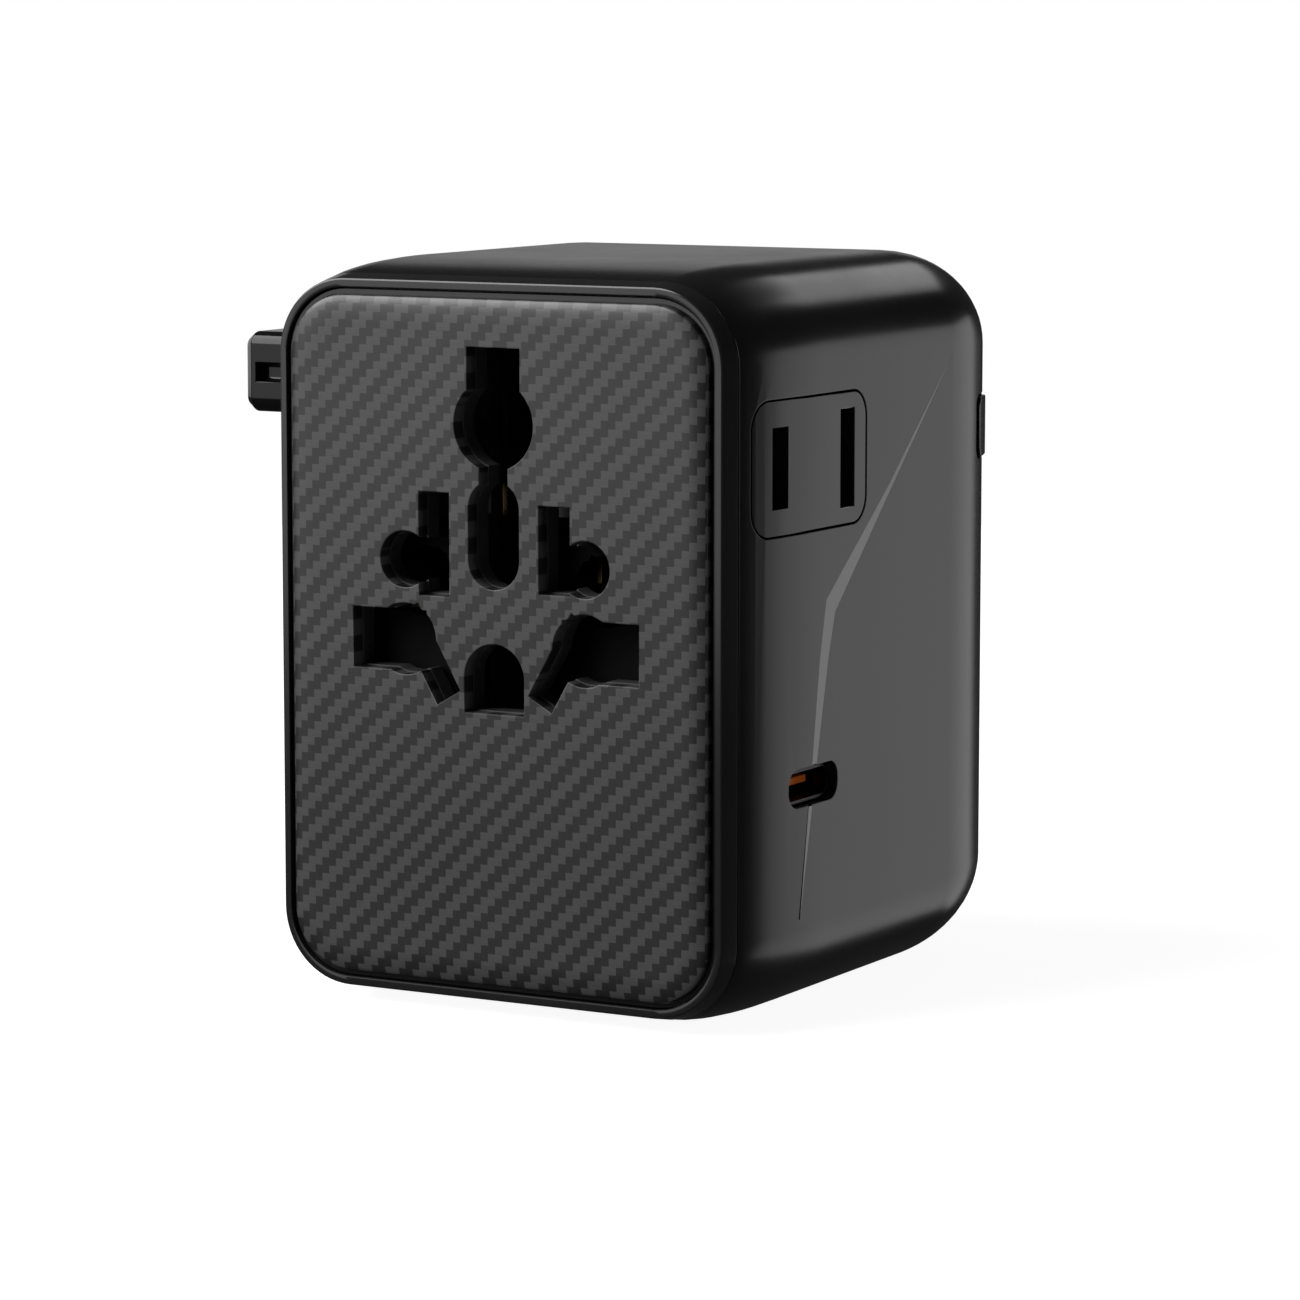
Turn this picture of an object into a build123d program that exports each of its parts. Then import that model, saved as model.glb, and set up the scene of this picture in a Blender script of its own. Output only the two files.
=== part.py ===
from build123d import *
from math import cos, radians, sin
import os

# Universal travel adapter. Millimetres, +Z up, origin at the middle of the base.
# The socket face looks along -Y and the side socket and USB port along +X. Three sets of plug
# pins slide out of the rear wall along +Y, each moved by its own knob on the -X wall.

os.makedirs("parts", exist_ok=True)

# ---- driving dimensions ----------------------------------------------------------------------
WIDTH, HEIGHT, DEPTH = 50.0, 69.0, 59.0
MID_Z = HEIGHT / 2
FRONT_Y, REAR_Y = -DEPTH / 2, DEPTH / 2
SIDE_X = WIDTH / 2
CORNER_R = 8.7  # long edges of the housing
WALL, REAR_WALL = 2.0, 2.4
LIP_Y = FRONT_Y + 2.75  # front edge of the housing, behind the bezel
NOSE_INSET, NOSE_RUN = 1.2, 14.0  # how the housing narrows towards its lip
TAIL_INSET, TAIL_RUN = 6.9, 15.6  # how it rounds off towards the rear wall
CAVITY_REAR = REAR_Y - REAR_WALL

BEZEL_W, BEZEL_H, BEZEL_R = 46.6, 65.9, 7.0
BEZEL_Y = FRONT_Y + 0.5
BEZEL_FLARE = 0.45
PANEL_W, PANEL_H, PANEL_R = 45.2, 64.3, 6.3  # recess in the bezel for the panel
STRIP_Y = FRONT_Y + 1.0  # flat strip round the raised middle of the panel
PANEL_BACK_Y = FRONT_Y + 1.5
CROWN_W, CROWN_H, CROWN_R = 43.9, 62.9, 5.6
DECK_BACK_Y = FRONT_Y + 3.4
FIT = 0.1  # clearance per side between pieces that don't move
RUN_FIT = 0.3  # clearance per side round what slides
BEARING = 0.06  # radial clearance of a shaft in its hole

# socket openings, measured from the line through the British live and neutral pins
US_PITCH, EU_PITCH, UK_PITCH = 12.7, 19.0, 22.2
US_SLOT_Z, EU_HOLE_Z, ROUND_EARTH_Z, UK_EARTH_Z = 9.0, 7.45, 20.1, 22.2

# side socket and USB port, on the right wall
SIDE_PANEL_Y, SIDE_SOCKET_Y, SIDE_SOCKET_Z = -14.7, -14.35, 51.1
SIDE_PANEL_W, SIDE_PANEL_H = 20.8, 12.1
USB_Y, USB_Z, USB_W, USB_H = -14.4, 21.6, 8.9, 3.2

# plugs: height of each set, length of its pins outside, and travel of its carriage
EU_Z, US_Z = 46.0, 23.5
UK_OUT, UK_EARTH_OUT, EU_OUT, US_OUT = 17.7, 22.7, 19.0, 16.0
UK_STROKE, SHORT_STROKE = 23.0, 19.2
CARRIAGE_Y0, CARRIAGE_Y1 = -1.2, 3.0
ROD_R = 1.25
UK_RODS = ((15.6, 56.8), (-8.5, 56.8))
EU_RODS = ((-4.2, EU_Z), (4.2, EU_Z))
PIVOT_Z = US_Z - 1.0  # the flat blades turn about a point just below their middle
US_RODS = ((-14.0, PIVOT_Z), (14.0, PIVOT_Z))
HUB_R = 5.0

# knobs: the lane that each slides in, as height, rest position and travel
UK_LANE = (58.0, -18.6, UK_STROKE)
EU_LANE = (46.0, -12.9, SHORT_STROKE)
US_LANE = (34.0, -12.9, SHORT_STROKE)
KNOB_W, KNOB_H, KNOB_OUT = 9.4, 7.6, -31.25
STEM = 3.0
ARM_X0, ARM_X1 = -22.4, -19.6

BUTTON_Y, BUTTON_Z, BUTTON_W, BUTTON_H = 24.0, 51.7, 5.0, 5.8
BUTTON_PROUD = 0.25
WINDOW_DEPTH = 8.3  # deep enough for the pressed button to clear the rounded rear corner


# ---- planes and helpers ----------------------------------------------------------------------
def front(y):
    """Plane facing -Y. Local x is +X and local y is height above MID_Z."""
    return Plane(origin=(0, y, MID_Z), x_dir=(1, 0, 0), z_dir=(0, -1, 0))


def side(x):
    """Plane facing +X. Local x is +Y and local y is +Z."""
    return Plane(origin=(x, 0, 0), x_dir=(0, 1, 0), z_dir=(1, 0, 0))


def block(x0, x1, y0, y1, z0, z1, mode=Mode.ADD):
    """A block between six planes, in the part being built."""
    with Locations(((x0 + x1) / 2, (y0 + y1) / 2, (z0 + z1) / 2)):
        Box(x1 - x0, y1 - y0, z1 - z0, mode=mode)


def bar(x, z, radius, y0, y1, mode=Mode.ADD):
    """A round bar along Y, in the part being built."""
    with Locations((x, (y0 + y1) / 2, z)):
        Cylinder(radius, y1 - y0, rotation=(90, 0, 0), mode=mode)


def save(part, name):
    """Label a finished piece and write it."""
    part.label = name
    export_step(part, f"parts/{name}.step")


def stack(stations):
    """A solid lofted through rounded rectangles, each given as y, width, height, radius."""
    with BuildPart() as solid:
        for y, width, height, radius in stations:
            with BuildSketch(front(y)):
                RectangleRounded(width, height, radius)
        loft()
    return solid.part


def envelope(grow, lip_y, rear_y):
    """The housing's rounded form, grown by grow on each side wall."""
    width, height, radius = WIDTH + 2 * grow, HEIGHT + 2 * grow, CORNER_R + grow
    nose_end, tail_start, steep = LIP_Y + NOSE_RUN, REAR_Y - TAIL_RUN, 72
    nose, tail = [], []
    for angle in range(steep, -1, -18):
        inset = NOSE_INSET * (1 - cos(radians(angle))) / (1 - cos(radians(steep)))
        y = nose_end - (nose_end - lip_y) * sin(radians(angle)) / sin(radians(steep))
        nose.append((y, width - 2 * inset, height - 2 * inset, radius - inset))
    for angle in range(0, 91, 15):
        inset = TAIL_INSET * (1 - cos(radians(angle)))
        y = tail_start + (rear_y - tail_start) * sin(radians(angle))
        tail.append((y, width - 2 * inset, height - 2 * inset, radius - 0.7 * inset))
    nose_part, tail_part = stack(nose), stack(tail)
    with BuildPart() as form:
        add(nose_part)
        with BuildSketch(front(tail_start)):
            RectangleRounded(width, height, radius)
        extrude(amount=tail_start - nose_end)
        add(tail_part)
    return form.part


def socket_openings(tight=0.0):
    """Every opening of the socket face, each made smaller by tight on each side."""
    t = 2 * tight
    with BuildSketch() as openings:
        with Locations((0, 24.0)):  # tall earth pin
            Rectangle(5.5 - t, 6.2 - t)
        with Locations((0, ROUND_EARTH_Z)):
            Circle(4.15 - tight)
        with Locations((0, 15.8)):  # neck between the round earth and the oblong
            Rectangle(2.95 - t, 3.4)
        with Locations((0, 10.1)):  # in-line earths
            SlotOverall(9.95 - t, 5.3 - t, rotation=90)
        with Locations((-US_PITCH / 2, US_SLOT_Z)):  # wide flat blade
            Rectangle(3.2 - t, 9.5 - t)
        with Locations((US_PITCH / 2, US_SLOT_Z)):  # narrow flat blade
            Rectangle(3.2 - t, 8.0 - t)
        for way in (-1, 1):
            with Locations((way * EU_PITCH / 2, EU_HOLE_Z)):
                Circle(2.6 - tight)
            with Locations((way * EU_PITCH / 2, 0.1)):  # thick round pin
                Circle(3.3 - tight)
            with Locations((way * 11.15, 0)):  # British live and neutral
                Rectangle(7.9 - t, 5.6 - t)
            with Locations((way * 7.09, -1.15)):  # slanted blade
                Rectangle(2.8 - t, 9.0 - t, rotation=-30 * way)
        with Locations((0, -3.02)):  # lower earth, round above and square below
            Circle(3.14 - tight)
        with Locations((0, -4.64)):
            Rectangle(6.28 - t, 3.24 - t)
    return openings.sketch


# ---- housing ---------------------------------------------------------------------------------
DECK_POSTS = ((-14.5, 63.2), (14.5, 63.2), (-19.2, 12.5), (19.2, 12.5))
POST_R, POST_END_Y, PILOT_R = 2.2, -15.0, 1.1
BOARD_FEET = ((-15.0, -17.0), (15.0, -17.0), (-15.0, 17.0), (15.0, 17.0))
BOARD, POWER_TOP = 1.6, 5.4
ACCENT_DEPTH = 0.3
ACCENT = (
    (14.4, 59.6), (0.7, 48.0), (-12.1, 38.4), (-13.3, 33.3), (-14.7, 24.3), (-17.1, 9.5),
    (-13.7, 24.3), (-11.5, 33.3), (-10.3, 37.1), (1.55, 48.0),
)

outer_form = envelope(0, LIP_Y, REAR_Y)
cavity_form = envelope(-WALL, LIP_Y - 0.5, CAVITY_REAR)
button_form = envelope(BUTTON_PROUD, LIP_Y, REAR_Y + BUTTON_PROUD)

with BuildSketch() as accent_line:  # a bent line that tapers to a point at both ends
    with BuildLine():
        Polyline(*ACCENT, close=True)
    make_face()

with BuildPart() as housing:
    add(outer_form)
    add(cavity_form, mode=Mode.SUBTRACT)
    with BuildSketch(front(DECK_BACK_Y + 0.4)):  # mouth that the bezel plugs into
        RectangleRounded(PANEL_W + 0.4, PANEL_H + 0.4, PANEL_R + 0.1)
    extrude(amount=4, mode=Mode.SUBTRACT)
    for x, z in DECK_POSTS:  # screw posts behind the socket deck, webbed to the nearest wall
        bar(x, z, POST_R, DECK_BACK_Y + FIT, POST_END_Y)
        if z > MID_Z:
            block(x - 0.8, x + 0.8, DECK_BACK_Y + 1, POST_END_Y, z, HEIGHT - WALL + 0.2)
        else:
            x0, x1 = sorted((x, x + (3.9 if x > 0 else -3.9)))
            block(x0, x1, DECK_BACK_Y + 1, POST_END_Y, z - 0.8, z + 0.8)
        bar(x, z, PILOT_R, DECK_BACK_Y - 1, POST_END_Y - 1, Mode.SUBTRACT)
    for x, y in BOARD_FEET:
        with Locations((x, y, (WALL + POWER_TOP - BOARD) / 2)):
            Cylinder(1.5, POWER_TOP - BOARD - WALL + 0.4)
    block(-18, 18, -20, 20, POWER_TOP - BOARD, POWER_TOP, Mode.SUBTRACT)
    with BuildSketch(side(-SIDE_X - 1)):  # one lane for each knob
        for z, rest_y, stroke in (UK_LANE, EU_LANE, US_LANE):
            with Locations((rest_y + stroke / 2, z)):
                lane_h = STEM + 2 * RUN_FIT
                RectangleRounded(stroke + lane_h, lane_h, 0.8)
    extrude(amount=WALL + 2, mode=Mode.SUBTRACT)
    with BuildSketch(side(SIDE_X + 1)):  # side socket, USB port and release button
        with Locations((SIDE_PANEL_Y, SIDE_SOCKET_Z)):
            RectangleRounded(SIDE_PANEL_W + 2 * FIT, SIDE_PANEL_H + 2 * FIT, 2.6)
        with Locations((USB_Y, USB_Z)):
            RectangleRounded(USB_W + 0.3, USB_H + 0.3, 1.5)
        with Locations((BUTTON_Y, BUTTON_Z)):
            RectangleRounded(BUTTON_W + 0.4, BUTTON_H + 0.4, 1.1)
    extrude(amount=-WINDOW_DEPTH, mode=Mode.SUBTRACT)
    with BuildSketch(side(SIDE_X - ACCENT_DEPTH)):
        add(accent_line.sketch)
    extrude(amount=2, mode=Mode.SUBTRACT)
    with BuildSketch(front(REAR_Y + 1)):  # pin openings in the rear wall
        for way in (-1, 1):
            with Locations((way * UK_PITCH / 2, 0)):
                RectangleRounded(6.35 + 2 * RUN_FIT, 4.0 + 2 * RUN_FIT, 0.4)
            with Locations((way * EU_PITCH / 2, EU_Z - MID_Z)):
                Circle(2.0 + RUN_FIT)
            for turn in (0, 7.5, 15, 22.5, 30):  # the fan that a turning blade sweeps
                x = way * (US_PITCH / 2 + sin(radians(turn)))
                with Locations((x, PIVOT_Z - MID_Z + cos(radians(turn)))):
                    Rectangle(1.6 + 2 * RUN_FIT, 6.35 + 2 * RUN_FIT, rotation=-way * turn)
        with Locations((0, UK_EARTH_Z)):
            RectangleRounded(4.0 + 2 * RUN_FIT, 8.0 + 2 * RUN_FIT, 0.4)
    extrude(amount=REAR_WALL + 2, mode=Mode.SUBTRACT)
    for x, z in UK_RODS + EU_RODS + US_RODS:  # blind seats for the guide rods
        bar(x, z, ROD_R + 0.05, CAVITY_REAR - 2, CAVITY_REAR + 1.25, Mode.SUBTRACT)
save(housing.part, "outer_housing")

with BuildPart() as accent:
    with BuildSketch(side(SIDE_X - ACCENT_DEPTH)):
        add(accent_line.sketch)
    extrude(amount=ACCENT_DEPTH - 0.08)
    add(outer_form, mode=Mode.INTERSECT)
    with BuildSketch(side(SIDE_X - 1)):
        with Locations((USB_Y, USB_Z)):
            RectangleRounded(USB_W + 0.3, USB_H + 0.3, 1.5)
    extrude(amount=2, mode=Mode.SUBTRACT)
save(accent.part, "side_accent")

# ---- bezel, socket panel and socket deck -------------------------------------------------------
SLEEVE_W, SLEEVE_H, SLEEVE_R = PANEL_W - 2.0, PANEL_H - 2.0, PANEL_R - 1.0
bezel_ring = stack(
    (
        (LIP_Y, BEZEL_W + 2 * BEZEL_FLARE, BEZEL_H + 2 * BEZEL_FLARE, BEZEL_R + BEZEL_FLARE),
        (BEZEL_Y, BEZEL_W, BEZEL_H, BEZEL_R),
    )
)
with BuildPart() as bezel:
    add(bezel_ring)
    fillet(bezel.faces().sort_by(Axis.Y)[0].edges(), 0.22)
    with BuildSketch(front(DECK_BACK_Y)):  # sleeve that plugs into the housing
        RectangleRounded(PANEL_W + 0.2, PANEL_H + 0.2, PANEL_R)
    extrude(amount=DECK_BACK_Y - LIP_Y)
    with BuildSketch(front(LIP_Y)):  # seat of the panel and of the deck's rim
        RectangleRounded(PANEL_W, PANEL_H, PANEL_R)
    extrude(amount=6, mode=Mode.SUBTRACT)
    with BuildSketch(front(DECK_BACK_Y + 1)):
        RectangleRounded(SLEEVE_W, SLEEVE_H, SLEEVE_R)
    extrude(amount=8, mode=Mode.SUBTRACT)
save(bezel.part, "front_bezel")

CROWN_EDGE_Y, CROWN_INSET = FRONT_Y + 0.45, 2.4
crown_stations = []
for angle in (0, 22, 44, 66, 90):
    inset = CROWN_INSET * (1 - cos(radians(angle)))
    y = CROWN_EDGE_Y + (FRONT_Y - CROWN_EDGE_Y) * sin(radians(angle))
    crown_stations.append((y, CROWN_W - 2 * inset, CROWN_H - 2 * inset, CROWN_R - inset))
crown = stack(crown_stations)
openings = socket_openings()
with BuildPart() as panel:
    with BuildSketch(front(PANEL_BACK_Y)):
        RectangleRounded(PANEL_W - 2 * FIT, PANEL_H - 2 * FIT, PANEL_R - FIT)
    extrude(amount=PANEL_BACK_Y - STRIP_Y)
    with BuildSketch(front(STRIP_Y)):
        RectangleRounded(CROWN_W, CROWN_H, CROWN_R)
    extrude(amount=STRIP_Y - CROWN_EDGE_Y)
    add(crown)
    with BuildSketch(front(PANEL_BACK_Y + 1)):
        add(openings)
    extrude(amount=6, mode=Mode.SUBTRACT)
save(panel.part, "socket_panel")

SHELF_TOP = 17.6
deck_openings = socket_openings(tight=0.08)
with BuildPart() as deck:
    with BuildSketch(front(LIP_Y - FIT)):
        RectangleRounded(PANEL_W - 2 * FIT, PANEL_H - 2 * FIT, PANEL_R - FIT)
    extrude(amount=LIP_Y - FIT - PANEL_BACK_Y)
    with BuildSketch(front(DECK_BACK_Y)):
        RectangleRounded(SLEEVE_W - 2 * FIT, SLEEVE_H - 2 * FIT, SLEEVE_R - FIT)
    extrude(amount=DECK_BACK_Y - PANEL_BACK_Y)
    block(-3.0, 3.0, DECK_BACK_Y - 0.5, DECK_BACK_Y + 3.6, SHELF_TOP - 1.2, SHELF_TOP)
    with BuildSketch(front(DECK_BACK_Y + 1)):
        add(deck_openings)
    extrude(amount=6, mode=Mode.SUBTRACT)
    for x, z in DECK_POSTS:
        bar(x, z, PILOT_R + 0.15, PANEL_BACK_Y - 1, DECK_BACK_Y + 1, Mode.SUBTRACT)
        bar(x, z, POST_R, PANEL_BACK_Y - 1, PANEL_BACK_Y + 1.4, Mode.SUBTRACT)
save(deck.part, "socket_deck")

# ---- safety shutter: its windows meet the openings once it has slid down -------------------------
SHUTTER_TRAVEL = 5.0
SHUTTER_Y0, SHUTTER_Y1 = DECK_BACK_Y + 0.3, DECK_BACK_Y + 1.9
SHUTTER_LOW, SHUTTER_HIGH = 25.0, 46.0
with BuildPart() as shutter:
    with BuildSketch(front(SHUTTER_Y1)):
        with Locations((0, (SHUTTER_LOW + SHUTTER_HIGH) / 2 - MID_Z)):
            RectangleRounded(32.5, SHUTTER_HIGH - SHUTTER_LOW, 1.5)
    extrude(amount=SHUTTER_Y1 - SHUTTER_Y0)
    with BuildSketch(front(SHUTTER_Y1 + 1)):
        with Locations((0, SHUTTER_TRAVEL)):
            add(openings)
        with Locations((0, 2.7)):  # the earth pins pass freely
            Rectangle(7.2, 19.0)
    extrude(amount=4, mode=Mode.SUBTRACT)
save(shutter.part, "safety_shutter")

SPRING_Y, SPRING_WIRE = DECK_BACK_Y + 1.75, 0.2
spring_foot = Plane.XY.offset(SHELF_TOP + SPRING_WIRE)
spring_foot.origin = (0, SPRING_Y, SHELF_TOP + SPRING_WIRE)
with BuildPart() as shutter_spring:
    with BuildLine(spring_foot) as coil:
        Helix(pitch=1.4, height=SHUTTER_LOW - SHELF_TOP - 2 * SPRING_WIRE - 0.04, radius=1.25)
    with BuildSketch(Plane(origin=coil.line @ 0, z_dir=coil.line % 0)):
        Circle(SPRING_WIRE)
    sweep(is_frenet=True)
save(shutter_spring.part, "shutter_spring")

# ---- front contacts and their carrier ------------------------------------------------------------
FRAME_Y0, FRAME_Y1 = -5.8, -3.8
CARRIER_Y0, CARRIER_Y1 = SHUTTER_Y1 + 0.3, FRAME_Y0
POCKET_Y = CARRIER_Y1 - 1.2  # floor of the pockets
CARRIER_SCREWS = ((-13.4, 57.6), (6.2, 51.6), (-9.0, 26.6), (9.0, 26.6))
with BuildPart() as carrier:
    block(-16.5, 16.5, CARRIER_Y0, CARRIER_Y1, 24.9, 46.3)
    block(-16.5, 8.0, CARRIER_Y0, CARRIER_Y1, 46.3, 60.0)
    block(-6.0, 6.0, CARRIER_Y0, CARRIER_Y1, 60.0, 62.2)
    for way in (-1, 1):  # live and neutral
        x0, x1 = sorted((way * 4.4, way * 15.8))
        block(x0, x1, CARRIER_Y0 - 1, POCKET_Y, 28.3, 38.4, Mode.SUBTRACT)
        x0, x1 = sorted((way * 4.6, way * 15.8))
        block(x0, x1, CARRIER_Y0 - 1, POCKET_Y, 38.4, 45.5, Mode.SUBTRACT)
    block(-3.4, 3.4, CARRIER_Y0 - 1, POCKET_Y, 27.9, 35.0, Mode.SUBTRACT)
    block(-3.6, 3.6, CARRIER_Y0 - 1, POCKET_Y, 39.4, 61.2, Mode.SUBTRACT)
    bar(0, ROUND_EARTH_Z + MID_Z, 4.4, CARRIER_Y0 - 1, POCKET_Y, Mode.SUBTRACT)
    for x, z in CARRIER_SCREWS:
        bar(x, z, 0.9, CARRIER_Y1 - 5, CARRIER_Y1 + 1, Mode.SUBTRACT)
save(carrier.part, "contact_carrier")

LEAF, STRIP = 0.5, 0.8
LEAF_Y0 = CARRIER_Y0 + 0.8


def upright_leaf(x, z0, z1):
    """A spring leaf standing on edge in a pocket, in the part being built."""
    block(x - LEAF / 2, x + LEAF / 2, LEAF_Y0, POCKET_Y, z0, z1)


for name, way in (("line_contact", 1), ("neutral_contact", -1)):
    with BuildPart() as contact:
        x0, x1 = sorted((way * 5.0, way * 15.3))
        block(x0, x1, POCKET_Y - STRIP, POCKET_Y, 30.0, 45.0)
        x0, x1 = sorted((way * 8.0, way * 15.0))
        for z in (MID_Z - 2.6, MID_Z + 2.1):
            block(x0, x1, LEAF_Y0, POCKET_Y, z, z + LEAF)
        for x in (US_PITCH / 2 - 1.05, US_PITCH / 2 + 1.05, EU_PITCH / 2 + 2.4):
            upright_leaf(way * x, 40.0, 44.8)
    save(contact.part, name)

with BuildPart() as earth_contact:
    block(-3.2, 3.2, POCKET_Y - STRIP, POCKET_Y, 40.0, 60.5)
    for way in (-1, 1):
        upright_leaf(way * 2.6, 40.4, 48.6)
        upright_leaf(way * 2.6, 50.4, 60.2)
save(earth_contact.part, "earth_contact")

# ---- side socket ---------------------------------------------------------------------------------
SIDE_SLOTS = ((SIDE_SOCKET_Y - US_PITCH / 2, 7.4), (SIDE_SOCKET_Y + US_PITCH / 2, 9.0))
with BuildPart() as side_panel:
    with BuildSketch(side(SIDE_X - 1.7)):
        with Locations((SIDE_PANEL_Y, SIDE_SOCKET_Z)):
            RectangleRounded(SIDE_PANEL_W, SIDE_PANEL_H, 2.5)
    extrude(amount=3)
    add(outer_form, mode=Mode.INTERSECT)
    with BuildSketch(side(SIDE_X + 1)):
        for y, height in SIDE_SLOTS:
            with Locations((y, SIDE_SOCKET_Z)):
                Rectangle(2.7, height)
    extrude(amount=-5, mode=Mode.SUBTRACT)
save(side_panel.part, "side_socket_panel")

CORE_X0, CORE_X1 = 8.5, SIDE_X - 1.75
WELL_X0 = CORE_X0 + 1.5
with BuildPart() as side_core:
    block(CORE_X0, CORE_X1, -22.6, FRAME_Y0 - FIT, 46.5, 56.6)
    for y, height in SIDE_SLOTS:
        block(WELL_X0, CORE_X1 + 1, y - 1.3, y + 1.3, 46.9, 55.7, Mode.SUBTRACT)
save(side_core.part, "side_socket_core")

for name, y in (("side_line_contact", SIDE_SLOTS[0][0]), ("side_neutral_contact", SIDE_SLOTS[1][0])):
    with BuildPart() as side_contact:  # folded from one strip, open towards the slot
        block(WELL_X0, WELL_X0 + LEAF, y - 1.3, y + 1.3, 48.0, 54.4)
        for y0 in (y - 1.3, y + 0.85):
            block(WELL_X0, CORE_X1 - 1.5, y0, y0 + 0.45, 48.0, 54.4)
    save(side_contact.part, name)

# ---- inner frame and guide rods --------------------------------------------------------------------
FRAME_OUTLINE = (
    (-16.4, -17.5), (22.8, -17.5), (22.8, 23.5), (17.0, 31.5), (-11.0, 31.5), (-16.4, 26.0),
)
with BuildPart() as inner_frame:
    with BuildSketch(front(FRAME_Y1)):
        with BuildLine():
            Polyline(*FRAME_OUTLINE, close=True)
        make_face()
    extrude(amount=FRAME_Y1 - FRAME_Y0)
    for x, z in CARRIER_SCREWS:
        bar(x, z, 1.1, FRAME_Y0 - 1, FRAME_Y1 + 1, Mode.SUBTRACT)
    for x, z in UK_RODS + EU_RODS + US_RODS:
        bar(x, z, 2.2, FRAME_Y1 - 0.5, FRAME_Y1 + 1.4)
    for x, z in UK_RODS + EU_RODS + US_RODS:
        bar(x, z, ROD_R, FRAME_Y0 - 1, FRAME_Y1 + 2, Mode.SUBTRACT)
save(inner_frame.part, "inner_frame")

with BuildPart() as guide_rods:
    for x, z in UK_RODS + EU_RODS + US_RODS:
        bar(x, z, ROD_R, FRAME_Y0 + 0.2, CAVITY_REAR + 1.0)
save(guide_rods.part, "guide_rods")

# ---- plug carriages: each runs on two rods and reaches forward to its knob ---------------------------
CARRIAGE_X0 = -17.6
JOG_X0, JOG_X1, JOG_Y0, JOG_Y1 = -20.2, -16.9, -6.5, 0.8


def carriage_arm(lane, low):
    """The arm from a carriage, along the left wall, to the knob of its lane."""
    z, rest_y, stroke = lane
    block(JOG_X0, JOG_X1, JOG_Y0, JOG_Y1, min(low, z - 2.3), z + 2.3)
    block(ARM_X0, ARM_X1, rest_y - 2.6, JOG_Y0 + 1.1, z - 2.3, z + 2.3)
    stem = STEM + 0.1
    block(ARM_X0 - 1, ARM_X1 + 1, rest_y - stem / 2, rest_y + stem / 2,
          z - stem / 2, z + stem / 2, Mode.SUBTRACT)


def rod_bores(places):
    """Running holes for the guide rods, in the carriage being built."""
    for x, z in places:
        bar(x, z, ROD_R + BEARING, CARRIAGE_Y0 - 1, CARRIAGE_Y1 + 1, Mode.SUBTRACT)


with BuildPart() as uk_carriage:  # C-shaped, open on the left where the next arm passes
    block(CARRIAGE_X0, 17.0, CARRIAGE_Y0, CARRIAGE_Y1, 52.2, 61.0)
    block(14.2, 17.0, CARRIAGE_Y0, CARRIAGE_Y1, 31.2, 53.0)
    block(-15.4, 17.0, CARRIAGE_Y0, CARRIAGE_Y1, 31.2, 37.8)
    fillet(uk_carriage.edges().filter_by(Axis.Y), 0.7)
    carriage_arm(UK_LANE, UK_LANE[0])
    rod_bores(UK_RODS)
save(uk_carriage.part, "uk_carriage")

with BuildPart() as eu_carriage:
    block(CARRIAGE_X0, 12.9, CARRIAGE_Y0, CARRIAGE_Y1, 42.4, 49.6)
    fillet(eu_carriage.edges().filter_by(Axis.Y), 0.7)
    carriage_arm(EU_LANE, EU_LANE[0])
    rod_bores(EU_RODS)
save(eu_carriage.part, "eu_carriage")

with BuildPart() as us_carriage:
    block(CARRIAGE_X0, 16.5, CARRIAGE_Y0, CARRIAGE_Y1, 16.4, 28.8)
    fillet(us_carriage.edges().filter_by(Axis.Y), 0.7)
    carriage_arm(US_LANE, 20.0)
    for way in (-1, 1):  # each blade's hub turns in a pocket behind a lip
        x = way * US_PITCH / 2
        bar(x, PIVOT_Z, HUB_R + BEARING, CARRIAGE_Y0 + 1.0, CARRIAGE_Y1 - 1.0, Mode.SUBTRACT)
        bar(x, PIVOT_Z, HUB_R - 0.5, CARRIAGE_Y1 - 2, CARRIAGE_Y1 + 1, Mode.SUBTRACT)
    rod_bores(US_RODS)
save(us_carriage.part, "us_carriage")

# ---- plug pins, moulded into their carriages -----------------------------------------------------------
uk_tip = REAR_Y + UK_OUT - UK_STROKE
earth_tip = REAR_Y + UK_EARTH_OUT - UK_STROKE
UK_PINS = (
    ("uk_line_pin", -UK_PITCH / 2, 0, 6.35, 4.0, uk_tip),
    ("uk_neutral_pin", UK_PITCH / 2, 0, 6.35, 4.0, uk_tip),
    ("uk_earth_pin", 0, UK_EARTH_Z, 4.0, 8.0, earth_tip),
)
for name, x, z, width, height, tip_y in UK_PINS:
    with BuildPart() as uk_pin:
        with BuildSketch(front(tip_y)):
            with Locations((x, z)):
                Rectangle(width, height)
        extrude(amount=tip_y - CARRIAGE_Y1)
        chamfer(uk_pin.faces().sort_by(Axis.Y)[-1].edges(), 0.8)
    save(uk_pin.part, name)

eu_tip = REAR_Y + EU_OUT - SHORT_STROKE
for name, way in (("eu_line_pin", -1), ("eu_neutral_pin", 1)):
    with BuildPart() as eu_pin:
        bar(way * EU_PITCH / 2, EU_Z, 2.0, CARRIAGE_Y1, eu_tip)
        fillet(eu_pin.edges().sort_by(Axis.Y)[-1], 1.6)
    save(eu_pin.part, name)

us_tip = REAR_Y + US_OUT - SHORT_STROKE
hub_back_y = CARRIAGE_Y1 - 1.1
for name, way in (("us_left_blade", -1), ("us_right_blade", 1)):
    with BuildPart() as blade:
        bar(way * US_PITCH / 2, PIVOT_Z, HUB_R, CARRIAGE_Y0 + 1.1, hub_back_y)
        with BuildSketch(front(us_tip)):
            with Locations((way * US_PITCH / 2, US_Z - MID_Z)):
                Rectangle(1.6, 6.35)
        extrude(amount=us_tip - hub_back_y + 0.3)
        chamfer(blade.faces().sort_by(Axis.Y)[-1].edges(), 0.45)
    save(blade.part, name)

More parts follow.
